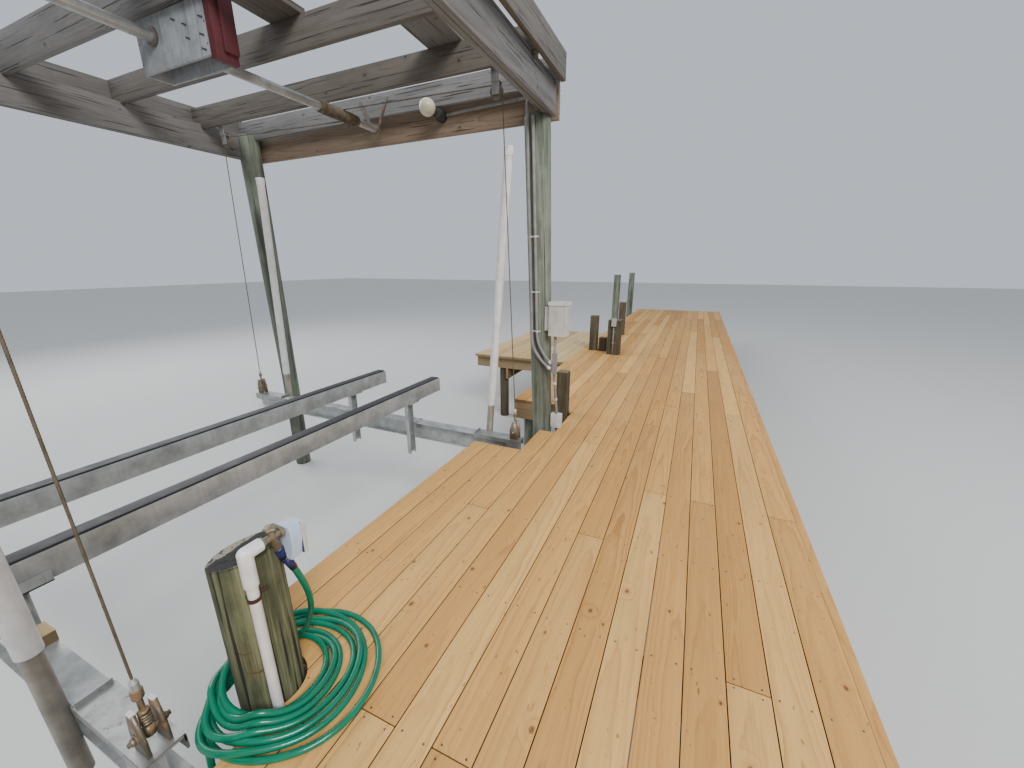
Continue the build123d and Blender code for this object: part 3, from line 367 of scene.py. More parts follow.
# Light, mid, dark and knot
PINE = ((0.74, 0.45, 0.145), (0.58, 0.315, 0.09), (0.38, 0.17, 0.045), (0.11, 0.04, 0.014))
OLD_PINE = ((0.66, 0.50, 0.27), (0.53, 0.38, 0.18), (0.38, 0.25, 0.11), (0.16, 0.08, 0.04))
FRAME_PINE = ((0.42, 0.31, 0.17), (0.32, 0.22, 0.11), (0.19, 0.12, 0.06), (0.10, 0.06, 0.03))
GREY = ((0.205, 0.202, 0.20), (0.125, 0.122, 0.12), (0.055, 0.052, 0.05), (0.026, 0.022, 0.02))
TAN = ((0.36, 0.30, 0.245), (0.25, 0.205, 0.165), (0.115, 0.09, 0.072), (0.06, 0.04, 0.03))
# Light, mid and dark
PILING = ((0.245, 0.27, 0.205), (0.14, 0.16, 0.118), (0.055, 0.06, 0.043))
HOSE_PILING = ((0.20, 0.205, 0.105), (0.082, 0.094, 0.045), (0.019, 0.018, 0.010))
STUB = ((0.125, 0.10, 0.055), (0.07, 0.056, 0.03), (0.022, 0.018, 0.011))

# Colour, dull colour, roughness, metallic, rust, the rust's colour and the pattern's scale
METALS = {
    "galvanised": ((0.46, 0.47, 0.46), (0.27, 0.27, 0.25), 0.45, 0.8, 0.35),
    "sheave_metal": ((0.24, 0.22, 0.20), (0.12, 0.10, 0.085), 0.45, 0.8, 0.6),
    "aluminium": ((0.52, 0.53, 0.52), (0.30, 0.31, 0.30), 0.42, 0.55, 0.12),
    "rusty_steel": ((0.27, 0.24, 0.19), (0.18, 0.14, 0.095), 0.45, 0.8, 0.7, (0.15, 0.085, 0.038)),
    "cable_steel": ((0.17, 0.14, 0.095), (0.09, 0.07, 0.045), 0.7, 0.5, 0.45, (0.10, 0.055, 0.028), 3.0),
    "weathered_pipe": ((0.44, 0.40, 0.34), (0.26, 0.235, 0.20), 0.45, 0.5, 0.2),
    "dull_brass": ((0.30, 0.26, 0.18), (0.16, 0.135, 0.095), 0.5, 0.7),
    "screw_steel": ((0.16, 0.11, 0.07), (0.09, 0.06, 0.04), 0.6, 0.4),
    "brass": ((0.55, 0.42, 0.20), (0.30, 0.22, 0.11), 0.35, 1.0),
    "pale_metal": ((0.60, 0.60, 0.57), (0.42, 0.41, 0.38), 0.4, 0.6, 0.15),
}
# Colour, worn colour, roughness and streaks
PLASTICS = {
    "cover_ply": ((0.30, 0.32, 0.34), (0.20, 0.21, 0.22), 0.8, 0.7),
    "red_paint": ((0.085, 0.010, 0.014), (0.05, 0.009, 0.010), 0.6, 0.5),
    "dark_paint": ((0.025, 0.025, 0.028), (0.045, 0.045, 0.045), 0.5, 0.3),
    "black_rubber": ((0.015, 0.015, 0.017), (0.035, 0.035, 0.036), 0.55, 0.3),
    "white_pvc": ((0.80, 0.785, 0.775), (0.64, 0.615, 0.59), 0.32, 0.25),
    "grey_plastic": ((0.42, 0.42, 0.40), (0.28, 0.27, 0.25), 0.5, 0.5),
    "timer_plastic": ((0.50, 0.60, 0.74), (0.38, 0.47, 0.60), 0.3, 0.15),
    "blue_plastic": ((0.010, 0.018, 0.085), (0.014, 0.022, 0.065), 0.3, 0.15),
    "green_hose": ((0.0, 0.165, 0.088), (0.0, 0.12, 0.06), 0.16, 0.1),
    "pale_plastic": ((0.62, 0.61, 0.58), (0.46, 0.45, 0.42), 0.45, 0.35),
    "dull_conduit": ((0.25, 0.245, 0.24), (0.17, 0.165, 0.16), 0.6, 0.4),
    "red_tie": ((0.045, 0.013, 0.009), (0.03, 0.01, 0.008), 0.5, 0.3),
    "lamp_glass": ((0.66, 0.64, 0.50), (0.52, 0.49, 0.37), 0.25, 0.2),
}


def make_materials():
    wood("new_pine", *PINE, tone=0.26, dirt=0.18, bold=0.8, knots=0.55)
    # side_shade paints shade on the board sides that face the gaps
    wood("deck_pine", *PINE, tone=0.26, dirt=0.2, bold=0.8, knots=0.55, specks=0.7, side_shade=0.1,
         relief=0.0009)
    wood("old_pine", *OLD_PINE, tone=0.2, dirt=0.3, checks=0.25, specks=0.5, side_shade=0.2)
    wood("frame_pine", *FRAME_PINE, tone=0.3, dirt=0.5, checks=0.2)
    wood("grey_timber", *GREY, ring=0.012, checks=0.85, dirt=0.5, knots=0.5, relief=0.0016)
    wood("tan_timber", *TAN, ring=0.011, tone=0.3, checks=0.6, dirt=0.35, bold=0.9, knots=0.6, relief=0.0014)
    piling("piling_wood", *PILING, crack=0.6)
    piling("hose_piling_wood", *HOSE_PILING, crack=1.3, rings=0.004, stained=True)
    piling("stub_wood", *STUB)
    for name, look in METALS.items():
        metal(name, *look)
    for name, look in PLASTICS.items():
        plastic(name, *look)


def paint_nodes():
    for node, thing in NODES.items():
        thing.data.materials.clear()
        thing.data.materials.append(MATERIALS["dull_conduit" if node == "conduits" else SLOTS[node]])


# Meshes
def new_piece(name, bm, slot, body, replaced=(), material=None, smooth_angle=35):
    """A piece from a mesh. Its edges stay smooth where no normals have been worked out."""
    sharp = math.radians(smooth_angle)
    for face in bm.faces:
        face.smooth = True
    for edge in bm.edges:
        edge.smooth = len(edge.link_faces) == 2 and edge.calc_face_angle(0) < sharp
    mesh = bpy.data.meshes.new(name)
    bm.to_mesh(mesh)
    bm.free()
    piece = add_object(name, mesh)
    mesh.materials.append(MATERIALS[material or slot])
    if body:
        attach(piece, body)
    if replaced:
        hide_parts(*replaced)
    return piece


def node_mesh(node):
    """A copy of a CAD node's mesh, welded and with its flat faces whole again."""
    bm = bmesh.new()
    bm.from_mesh(NODES[node].data)
    bmesh.ops.remove_doubles(bm, verts=bm.verts, dist=0.00002)
    bmesh.ops.dissolve_limit(bm, angle_limit=math.radians(1), verts=bm.verts, edges=bm.edges)
    return bm


def islands(bm):
    """The vertices of each loose solid."""
    seen = set()
    for vert in bm.verts:
        if vert in seen:
            continue
        group, queue = [], [vert]
        seen.add(vert)
        while queue:
            here = queue.pop()
            group.append(here)
            for edge in here.link_edges:
                other = edge.other_vert(here)
                if other not in seen:
                    seen.add(other)
                    queue.append(other)
        yield group


def box_of(verts):
    low = Vector([min(v.co[i] for v in verts) for i in range(3)])
    high = Vector([max(v.co[i] for v in verts) for i in range(3)])
    return low, high


def node_box(node):
    bm = node_mesh(node)
    box = box_of(bm.verts)
    bm.free()
    return box


def ease(bm, width, angle=50):
    """Round the edges that are sharper than an angle."""
    hard = [e for e in bm.edges if len(e.link_faces) == 2 and e.calc_face_angle(0) > math.radians(angle)]
    bmesh.ops.bevel(bm, geom=hard, offset=width, segments=2, profile=0.6, affect="EDGES", clamp_overlap=True)


def mark_layers(bm):
    return bm.verts.layers.float_vector.new("grain"), bm.verts.layers.float.new("tone")


def grain_marks(bm, seed, pith=0.09):
    """Each loose solid gets coordinates along its own grain, from a pith of its own."""
    draws = random.Random(seed)
    grain, tone = mark_layers(bm)
    for group in islands(bm):
        low, high = box_of(group)
        sizes = high - low
        order = sorted(range(3), key=lambda i: -sizes[i])
        middle = (low + high) / 2
        start = draws.uniform(0, 40)
        shift = draws.uniform(-0.05, 0.05)
        depth = draws.choice((-1, 1)) * draws.uniform(0.3, 1.0) * pith
        value = draws.random()
        for vert in group:
            local = vert.co - middle
            vert[grain] = Vector((start + local[order[0]], shift + local[order[1]], depth + local[order[2]]))
            vert[tone] = value


def mark_upright(bm, seed):
    """Grain for round posts: up the post first, and then across from its own axis."""
    draws = random.Random(seed)
    grain, tone = mark_layers(bm)
    for group in islands(bm):
        low, high = box_of(group)
        middle = (low + high) / 2
        start = draws.uniform(0, 30)
        value = draws.random()
        for vert in group:
            local = vert.co - middle
            vert[grain] = Vector((start + vert.co.z, local.x, local.y))
            vert[tone] = value


def timber(name, node, seed, bevel=0.003, material=None, pith=0.09, jitter=0.0):
    """A sawn copy of a CAD node, with eased edges and marked grain."""
    bm = node_mesh(node)
    draws = random.Random(seed + 1)
    if jitter:
        for group in islands(bm):
            drop = -abs(draws.gauss(0, jitter))
            for vert in group:
                vert.co.z += drop
    ease(bm, bevel, 40)
    grain_marks(bm, seed, pith)
    new_piece(name, bm, SLOTS[node], "jetty", [node], material)


def both(middle, half):
    return middle - half, middle + half


def slab(bm, x, y, z):
    """A block between two values of x, of y and of z."""
    (x0, x1), (y0, y1) = sorted(x), sorted(y)
    corners = ((x0, y0), (x1, y0), (x1, y1), (x0, y1))
    skin(bm, [[bm.verts.new((*corner, level)) for corner in corners] for level in sorted(z)])


def turned(axis):
    """The turn that takes +Z to an axis."""
    return axis.to_track_quat("Z", "Y").to_matrix()


def circle(bm, centre, turn, radius, sides, twist=0.0, lobes=0):
    """A ring of vertices square to the turned +Z, with lobes if asked."""
    made = []
    for step in range(sides):
        angle = 2 * math.pi * step / sides
        r = radius * (0.90 + 0.10 * math.cos(lobes * angle))
        co = Vector((r * math.cos(angle + twist), r * math.sin(angle + twist), 0))
        made.append(bm.verts.new(centre + turn @ co))
    return made


def wall(bm, low, high):
    for step in range(len(low)):
        after = (step + 1) % len(low)
        bm.faces.new((low[step], low[after], high[after], high[step]))


def skin(bm, rings):
    """Faces between rings of vertices, from the foot up, and over both ends."""
    for low, high in zip(rings, rings[1:]):
        wall(bm, low, high)
    bm.faces.new(rings[-1])
    bm.faces.new(rings[0][::-1])


def plate(bm, x, foot, y0, y1, widths):
    """A plate from y0 to y1. The widths are half its width and the height above its foot."""
    outline = [(x + half, foot + rise) for half, rise in widths]
    outline += [(x - half, foot + rise) for half, rise in reversed(widths)]
    near, far = [[bm.verts.new((across, y, level)) for across, level in outline] for y in (y0, y1)]
    skin(bm, [far, near])


def head(bm, place, radius, height, across=UP, sides=8):
    """A low round or six-sided head that stands out from a face along across."""
    turn = turned(across)
    shape = ((1.0, 0.0), (1.0, 0.7), (0.75, 1.0))
    skin(bm, [circle(bm, Vector(place) + across * height * level, turn, radius * share, sides)
              for share, level in shape])


def rod(bm, start, end, radius, end_radius=None, sides=20):
    start, end = Vector(start), Vector(end)
    turn = turned(end - start)
    skin(bm, [circle(bm, start, turn, radius, sides), circle(bm, end, turn, end_radius or radius, sides)])


def tube(bm, points, radius, sides=8, closed=False):
    """A round tube along points, each ring square to its path."""
    points = [Vector(p) for p in points]
    count = len(points)
    rings = []
    for index, place in enumerate(points):
        before = index - 1 if closed else max(index - 1, 0)
        after = (index + 1) % count if closed else min(index + 1, count - 1)
        rings.append(circle(bm, place, turned(points[after] - points[before]), radius, sides))
    pairs = list(zip(rings, rings[1:]))
    if closed:
        pairs.append((rings[-1], rings[0]))
    for low, high in pairs:
        shift = min(range(sides), key=lambda k: (high[k].co - low[0].co).length)
        wall(bm, low, high[shift:] + high[:shift])
    if not closed:
        bm.faces.new(rings[-1])
        bm.faces.new(rings[0][::-1])


# Deck
INNER_PILING_X = 0.057
OUTER_PILING_X = -3.345
# Round holes in the boards, where no screw can be: x, y and radius
POST_HOLES = ((0, 0, 0.125), (INNER_PILING_X, LIFT_NEAR_Y, 0.105), (INNER_PILING_X, LIFT_FAR_Y, 0.105),
              (0.135, 3.105, 0.09), (0.080, 6.170, 0.13))
SCREW_FROM_END = 0.016
SCREW_FROM_SIDE = 0.026
JOISTS = range(-5, 24)


def make_screws():
    """Two screws where a board crosses a joist, and two more near each of its ends."""
    bm = bmesh.new()
    draws = random.Random(91)
    for node in ("deck_boards", "edge_boards_near", "ledge_boards", "edge_boards_far", "finger_boards"):
        boards = node_mesh(node)
        for group in islands(boards):
            low, high = box_of(group)
            lines = [low.y + SCREW_FROM_END, high.y - SCREW_FROM_END]
            joists = (FIRST_JOIST + index * JOIST_PITCH for index in JOISTS)
            lines += [y for y in joists if low.y + 0.06 < y < high.y - 0.06]
            for y in lines:
                for x in (low.x + SCREW_FROM_SIDE, high.x - SCREW_FROM_SIDE):
                    x_here = x + draws.uniform(-0.004, 0.004)
                    y_here = y + draws.uniform(-0.005, 0.005)
                    if all(math.hypot(x_here - px, y_here - py) > hole for px, py, hole in POST_HOLES):
                        head(bm, (x_here, y_here, DECK_Z - 0.0012), 0.0042, 0.0014)
        boards.free()
    new_piece("deck_screws", bm, "rusty_steel", "jetty", (), "screw_steel")


def make_deck():
    timber("deck_planks", "deck_boards", 3, jitter=0.0006, material="deck_pine")
    timber("edge_planks_near", "edge_boards_near", 5, material="deck_pine")
    timber("ledge_planks", "ledge_boards", 7, jitter=0.0006, material="deck_pine")
    timber("edge_planks_far", "edge_boards_far", 9, jitter=0.0006, material="deck_pine")
    timber("finger_planks", "finger_boards", 11, jitter=0.0008)
    under = ("joists", "ledge_joists", "rim_boards", "land_rim", "stringers", "finger_frame")
    for seed, node in enumerate(under):
        timber(node + "_timber", node, 20 + seed)
    over = ("lift_headers", "cross_members", "end_planks", "rim_planks", "loose_planks")
    for seed, node in enumerate(over):
        tint = "tan_timber" if node == "end_planks" else None
        timber(node + "_timber", node, 40 + seed, bevel=0.004, material=tint, pith=0.16)


# Pilings and posts
INNER_PILING_TOP = 3.650
OUTER_PILING_TOP = 3.885
INNER_LEAN = -0.089
OUTER_LEAN = -0.045
HOSE_PILING_R = 0.108
HOSE_PILING_TOP = 1.704
HOSE_PILING_SLANT = (0.030, 0.005)


def lathe_post(bm, x, y, top, radius, steps, rows, seed, rough=0.004, slant=(0.0, 0.0)):
    """A round post that stands on the water line and whose side wavers. radius(z) is its radius."""
    loops = []
    for row in range(rows + 1):
        loop = []
        for step in range(steps):
            angle = 2 * math.pi * step / steps
            cx, cy = math.cos(angle), math.sin(angle)
            cut = top + min(0, slant[0] * cx + slant[1] * cy - abs(slant[0]) - abs(slant[1]))
            z = cut * row / rows
            wave = noise.noise(Vector((cx * 1.3 + seed, cy * 1.3, z * 0.9)))
            fibre = noise.noise(Vector((cx * 9 + seed, cy * 9, z * 1.7)))
            r = radius(z) - rough * (0.5 + 0.5 * wave) - rough * 0.5 * abs(fibre)
            loop.append(bm.verts.new((x + r * cx, y + r * cy, z)))
        loops.append(loop)
    ends = []
    for loop in (loops[0], loops[-1]):
        centre = sum((v.co for v in loop), Vector()) / steps
        ends.append([[bm.verts.new(centre + (vert.co - centre) * share) for vert in loop]
                     for share in (0.97, 0.6, 0.25)])
    skin(bm, [*reversed(ends[0]), *loops, *ends[1]])


def lift_share(z):
    return max(0.0, z - DECK_Z) / (INNER_PILING_TOP - DECK_Z)


def lift_radius(z):
    return 0.089 + 0.018 * lift_share(z)


def make_posts():
    bm = bmesh.new()
    lathe_post(bm, 0, 0, HOSE_PILING_TOP, lambda z: HOSE_PILING_R, 120, 160, 4, 0.006, HOSE_PILING_SLANT)
    mark_upright(bm, 2)
    new_piece("hose_piling_round", bm, "piling_wood", "jetty", ["hose_piling"], "hose_piling_wood", 50)
    bm = bmesh.new()
    seed = 10
    for x, top in ((INNER_PILING_X, INNER_PILING_TOP), (OUTER_PILING_X, OUTER_PILING_TOP)):
        for y in (LIFT_NEAR_Y, LIFT_FAR_Y):
            lathe_post(bm, x, y, top, lift_radius, 48, 90, seed)
            seed += 1
    mark_upright(bm, 8)
    for vert in bm.verts:
        lean = INNER_LEAN if vert.co.x > PIPE_X else OUTER_LEAN
        vert.co.x += lean * lift_share(vert.co.z)
    new_piece("lift_pilings_round", bm, "piling_wood", "jetty", ["lift_pilings"], None, 50)


SHEAVES = ("sheave_near_inner", "sheave_near_outer", "sheave_far_inner", "sheave_far_outer")
# Eased copies of the hard CAD nodes: how wide their edges are rounded
EASED = {
    "pipe_hangers": 0.0015,
    "gear_cover": 0.003,
    "motor_box": 0.004,
    "flood_lamp": 0.006,
    "sheave_brackets": 0.001,
    "drive_pipe": 0.001,
    "cable_winders": 0.0015,
    **dict.fromkeys(SHEAVES, 0.0012),
    "cradle_beams": 0.0015,
    "bunk_inner": 0.004,
    "bunk_outer": 0.004,
    "bunk_strips": 0.004,
    "guide_posts": 0.002,
    "guide_sleeves": 0.0015,
    "water_pipe": 0.0025,
    "electric_box": 0.006,
    "junction_box": 0.006,
    "outlet_box": 0.005,
}
EASED_MATERIAL = {
    "electric_box": "pale_plastic",
    "junction_box": "pale_plastic",
    "guide_posts": "weathered_pipe",
    "pipe_hangers": "sheave_metal",
}
NEAR_FOOT_SHIFT = Vector((0.0085, 0, -0.130))


def make_eased():
    for node, width in EASED.items():
        bm = node_mesh(node)
        if node == "guide_posts":
            # The near inner post's foot reaches further down than the others
            for vert in bm.verts:
                if vert.co.z < 1.0 and vert.co.y < 0 and vert.co.x > -1:
                    vert.co += NEAR_FOOT_SHIFT
        ease(bm, width)
        new_piece(node + "_eased", bm, SLOTS[node], BODY[node], [node], EASED_MATERIAL.get(node))
    for seed, node in enumerate(("stub_posts", "tall_pilings", "deck_pilings", "finger_pilings")):
        bm = node_mesh(node)
        ease(bm, 0.006)
        mark_upright(bm, 60 + seed)
        new_piece(node + "_round", bm, SLOTS[node], "jetty", [node])


# Cradle
# Where each cable meets the cradle: x, y and the way along the beam
YOKES = ((-0.152, -0.290, -1), (-0.045, 2.310, -1), (-3.407, -0.290, 1), (-3.300, 2.310, 1))
BEAM_TOP = 1.100
PIN_Z = BEAM_TOP + 0.070
EYE_Z = 1.350
# Half the width of a lug and its height, from foot to tip
LUG_WIDTHS = ((0.036, 0.004), (0.036, 0.085), (0.015, 0.166))
# How far above the beam the threads that show on a yoke's rod lie
THREADS = (0.102, 0.112, 0.122, 0.132, 0.205, 0.213, 0.221, 0.229)
BUNK_LINES = (-1.800, -1.100)
BUNK_FOOT = 1.310


def make_yokes():
    caps, lugs, fittings, ferrules = (bmesh.new() for _ in range(4))
    for x, y, inward in YOKES:
        ends = (x + inward * 0.375, x - inward * 0.055)
        slab(caps, ends, both(y, 0.051), (BEAM_TOP, BEAM_TOP + 0.006))
        slab(caps, (ends[0], ends[0] - inward * 0.006), both(y, 0.051), (BEAM_TOP, BEAM_TOP + 0.024))
        for side in (-1, 1):
            slab(caps, ends, (y + side * 0.051, y + side * 0.0565), (BEAM_TOP - 0.028, BEAM_TOP + 0.006))
            slab(caps, both(x, 0.055), (y + side * 0.0515, y + side * 0.059), (BEAM_TOP - 0.060, BEAM_TOP))
            plate(lugs, x, BEAM_TOP, y + side * 0.022, y + side * 0.034, LUG_WIDTHS)
            slab(ferrules, both(x, 0.014), (y + side * 0.021, y + side * 0.035), (1.263, 1.269))
            head(lugs, (x, y + side * 0.034, PIN_Z), 0.019, 0.004, side * ALONG, 20)
            head(fittings, (x, y + side * 0.038, PIN_Z), 0.013, 0.011, side * ALONG, 6)
        rod(fittings, (x, y - 0.056, PIN_Z), (x, y + 0.056, PIN_Z), 0.008)
        # The cable's threaded rod, with its nuts, stands between the lugs
        rod(fittings, (x, y, BEAM_TOP + 0.060), (x, y, EYE_Z), 0.0085)
        rod(fittings, (x, y, BEAM_TOP + 0.052), (x, y, BEAM_TOP + 0.088), 0.0155)
        for rise in THREADS:
            angles = [2 * math.pi * step / 16 for step in range(16)]
            loop = [(x + 0.0115 * math.cos(a), y + 0.0115 * math.sin(a), BEAM_TOP + rise) for a in angles]
            tube(fittings, loop, 0.0048, closed=True)
        head(fittings, (x, y, BEAM_TOP + 0.140), 0.0165, 0.012, sides=6)
        rod(ferrules, (x, y, EYE_Z - 0.016), (x, y, EYE_Z + 0.010), 0.0125)
        rod(ferrules, (x, y, EYE_Z + 0.010), (x + inward * 0.0005, y, EYE_Z + 0.026), 0.0125, 0.006)
    caps.normal_update()
    ferrules.normal_update()
    new_piece("yoke_caps", caps, "galvanised", "cradle", ["cable_yokes"])
    new_piece("yoke_lugs", lugs, "rusty_steel", "cradle", ["cable_yokes"], None, 30)
    new_piece("yoke_fittings", fittings, "rusty_steel", "cradle", ["cable_yokes"], None, 30)
    new_piece("yoke_ferrules", ferrules, "galvanised", "cradle", ["cable_yokes"], "pale_metal")


def make_brackets():
    """The far brackets as in the CAD model, and the near ones, which end on the beam's top."""
    bm = node_mesh("bunk_brackets")
    near = [vert for vert in bm.verts if vert.co.y < 1]
    bmesh.ops.delete(bm, geom=near, context="VERTS")
    ease(bm, 0.0012)
    tray = (-0.335, -0.170)
    leg = (BEAM_TOP + 0.008, BUNK_FOOT - 0.006)
    for x in BUNK_LINES:
        slab(bm, both(x, 0.056), tray, (BUNK_FOOT - 0.006, BUNK_FOOT))
        for side in (-1, 1):
            slab(bm, (x + side * 0.050, x + side * 0.056), tray, (BUNK_FOOT - 0.006, BUNK_FOOT + 0.045))
        slab(bm, (x - 0.020, x - 0.015), (-0.300, -0.238), leg)
        for y in (-0.300, -0.243):
            slab(bm, both(x, 0.020), (y, y + 0.005), leg)
        slab(bm, both(x, 0.050), (-0.341, -0.234), (BEAM_TOP, BEAM_TOP + 0.008))
    bm.normal_update()
    new_piece("bunk_brackets_folded", bm, "aluminium", "cradle", ["bunk_brackets"], None, 30)
    bm = bmesh.new()
    for x in BUNK_LINES:
        slab(bm, (x + 0.052, x + 0.150), (-0.305, -0.236), (BEAM_TOP, BEAM_TOP + 0.050))
    bm.normal_update()
    grain_marks(bm, 77)
    new_piece("beam_blocks", bm, "old_pine", "cradle")


# Drive
FALL_LINES = (-0.290, 2.310)
FALL_LEAN = 0.100
SHEAVE_Z = 3.712
ROPE_R = 0.0042
ROPE_STRANDS = 6
ROPE_LAY = 0.055
WRAP_R = 0.0425
WRAP_PITCH = 0.0092
WRAP_STEPS = 20
CABLE_R = 0.004


def rope(bm, start, end):
    """A straight wire rope: its section has a lobe for each strand and turns with the lay."""
    start, end = Vector(start), Vector(end)
    length = (end - start).length
    turn = turned(end - start)
    count = round(length / (ROPE_LAY / 12))
    rings = []
    for step in range(count + 1):
        twist = 2 * math.pi * length * step / count / ROPE_LAY
        rings.append(circle(bm, start.lerp(end, step / count), turn, ROPE_R, 18, twist, ROPE_STRANDS))
    skin(bm, rings)


def make_falls():
    """The four falls, each from a yoke's eye up to its sheave."""
    bm = bmesh.new()
    for x, y, inward in YOKES:
        rope(bm, (x, y, EYE_Z), (x + inward * FALL_LEAN, y, SHEAVE_Z))
    falls = new_piece("falls_rope", bm, "cable_steel", None, ["cable_falls"])
    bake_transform(falls)


def wraps(bm, y_end, y_start, last_angle):
    """Cable wound on the drum from y_start, up to where it leaves the drum at y_end."""
    count = int(abs(y_start - y_end) / WRAP_PITCH) - 1
    way = 1 if y_start > y_end else -1
    points = []
    for step in range(count * WRAP_STEPS + 1):
        turn = step / WRAP_STEPS
        angle = last_angle - 2 * math.pi * turn * way
        y = y_end + way * (turn * WRAP_PITCH + 0.008 * min(turn, 1))
        points.append((PIPE_X + WRAP_R * math.cos(angle), y, PIPE_Z + WRAP_R * math.sin(angle)))
    tube(bm, points, CABLE_R)


def make_drive():
    bm = bmesh.new()
    for fall_y in FALL_LINES:
        wraps(bm, fall_y, fall_y - 0.198, math.radians(88))
        wraps(bm, fall_y, fall_y + 0.118, math.radians(268))
    new_piece("cable_wraps", bm, "cable_steel", "drive")
    # Hubs on the sheaves' sides
    for node in SHEAVES:
        low, high = node_box(node)
        middle = (low + high) / 2
        bm = bmesh.new()
        for side, y in ((-1, low.y), (1, high.y)):
            head(bm, (middle.x, y, middle.z), 0.020, 0.0025, side * ALONG, 24)
        new_piece(node + "_hubs", bm, "sheave_metal", BODY[node])


# Bolts and nails
END_BOLT_X = (0.040, 0.084, -3.454, -3.410)
END_BOLT_Z = (3.705, 3.825)
END_PLANK_FACES = ((LIFT_NEAR_Y - 0.145, -1), (LIFT_FAR_Y + 0.145, 1))
CROSS_LINES = (-0.705, -0.240, 0.3225, 0.955, 1.6275, 2.260, 2.725)
RIM_NAIL_Z = (3.915, 4.005)
RIM_FACES = ((0.173, 1), (-3.543, -1))
COVER_FACE_Y = 0.974
COVER_NAIL_X = (-1.765, -1.175)
# Bent nails on the cover's near face: x and z
BENT_NAILS = ((-1.422, 3.789), (-1.335, 3.752), (-1.197, 3.759), (-1.325, 3.690), (-1.207, 3.685),
              (-1.209, 3.622))


def make_fasteners():
    bolts, nails, bent, feet = (bmesh.new() for _ in range(4))
    draws = random.Random(17)
    # Hexagon bolts through the end planks, each on its washer
    for x in END_BOLT_X:
        for z in END_BOLT_Z:
            for y, side in END_PLANK_FACES:
                head(bolts, (x, y, z), 0.021, 0.003, side * ALONG, 24)
                head(bolts, (x, y + side * 0.003, z), 0.012, 0.009, side * ALONG, 6)
    # Two nails where a rim plank crosses each member
    for y in CROSS_LINES:
        for z in RIM_NAIL_Z:
            for x, side in RIM_FACES:
                co = (x, y + draws.uniform(-0.008, 0.008), z + draws.uniform(-0.01, 0.01))
                head(nails, co, 0.0055, 0.0015, Vector((side, 0, 0)))
    # Nails round the gear cover's edges
    for index in range(5):
        for x in COVER_NAIL_X:
            head(nails, (x, COVER_FACE_Y, 3.64 + index * 0.095), 0.005, 0.0015, -ALONG)
        head(nails, (-1.70 + index * 0.115, COVER_FACE_Y, 4.042), 0.005, 0.0015, -ALONG)
    y = COVER_FACE_Y - 0.0005
    for x, z in BENT_NAILS:
        rod(bent, (x - 0.017, y, z + 0.007), (x + 0.017, y, z - 0.007), 0.0032, 0.0045, 8)
    # Nails in the landward rim, at each joist
    low, high = node_box("land_rim")
    y = FIRST_JOIST - 4 * JOIST_PITCH
    while y < high.y - 0.05:
        for z in (high.z - 0.06, high.z - 0.14):
            co = (high.x, y + draws.uniform(-0.01, 0.01), z)
            head(nails, co, 0.0045, 0.0012, Vector((1, 0, 0)))
        y += JOIST_PITCH
    # Bolts in the feet of the bunks' brackets
    for y in FALL_LINES:
        for bunk_x in BUNK_LINES:
            for x in both(bunk_x, 0.036):
                for bolt_y in both(y, 0.034):
                    head(feet, (x, bolt_y, BEAM_TOP + 0.008), 0.0085, 0.006, sides=6)
    new_piece("frame_bolts", bolts, "galvanised", "jetty")
    new_piece("frame_nails", nails, "rusty_steel", "jetty", (), "screw_steel")
    new_piece("cover_nails", bent, "dark_paint", "jetty")
    new_piece("bracket_bolts", feet, "rusty_steel", "cradle")


# Conduits
CLIP_Z = (2.77, 2.33, 2.00)
# Each collar on the conduits, from its start to its end
COLLARS = (
    ((0.137, 2.602, 1.696), (0.160, 2.602, 1.679)),
    ((0.148, 2.602, 1.746), (0.168, 2.602, 1.727)),
    ((0.1985, 2.616, 1.560), (0.199, 2.619, 1.540)),
    ((0.199, 2.658, 1.400), (0.1992, 2.664, 1.380)),
)


def make_straps():
    """Clips hold the conduits on the piling, and collars join them near the tee."""
    bm = bmesh.new()
    for z in CLIP_Z:
        x = INNER_PILING_X + INNER_LEAN * lift_share(z)
        reach = lift_radius(z) + 0.0125
        for offset in (-0.040, 0.007):
            y = LIFT_FAR_Y - math.sqrt(reach**2 - offset**2)
            rod(bm, (x + offset, y, z - 0.007), (x + offset, y, z + 0.007), 0.0142)
        y = LIFT_FAR_Y - lift_radius(z)
        slab(bm, (x - 0.066, x + 0.032), (y - 0.004, y + 0.012), both(z, 0.007))
        for offset in (-0.0605, -0.0165, 0.0265):
            head(bm, (x + offset, y - 0.004, z), 0.004, 0.0025, -ALONG)
    for start, end in COLLARS:
        rod(bm, start, end, 0.0155)
    bm.normal_update()
    new_piece("conduit_clips", bm, "grey_plastic", "jetty", (), "pale_plastic")
    bm = bmesh.new()
    slab(bm, (0.133, 0.300), (2.590, 2.712), (2.2255, 2.254))
    bm.normal_update()
    new_piece("box_lid", bm, "grey_plastic", "jetty", (), "pale_plastic")
    # A conduit runs down the outlet's post
    low, high = node_box("outlet_box")
    bm = bmesh.new()
    middle = (low.x + high.x) / 2
    rod(bm, (middle, high.y - 0.012, DECK_Z), (middle, high.y - 0.012, low.z), 0.010)
    for z in (low.z - 0.10, low.z - 0.28):
        slab(bm, both(middle, 0.026), (high.y - 0.004, high.y), both(z, 0.008))
        rod(bm, (middle, high.y - 0.012, z - 0.008), (middle, high.y - 0.012, z + 0.008), 0.0125)
    new_piece("outlet_conduit", bm, "grey_plastic", "jetty", (), "dull_conduit")


# Tap, timer and tie
PIPE_FOOT = (0.1155, -0.0586)
ELBOW_Z = 1.733
TIE_Z = 1.573
# Half the timer's width at each height, from its foot up
TIMER_WIDTHS = ((0.019, 1.6235), (0.032, 1.690), (0.032, 1.736), (0.027, 1.748))
# The connector leans from the hose up past the timer to the tap
CONNECTOR_TOP = (0.093, 0.054, 1.668)


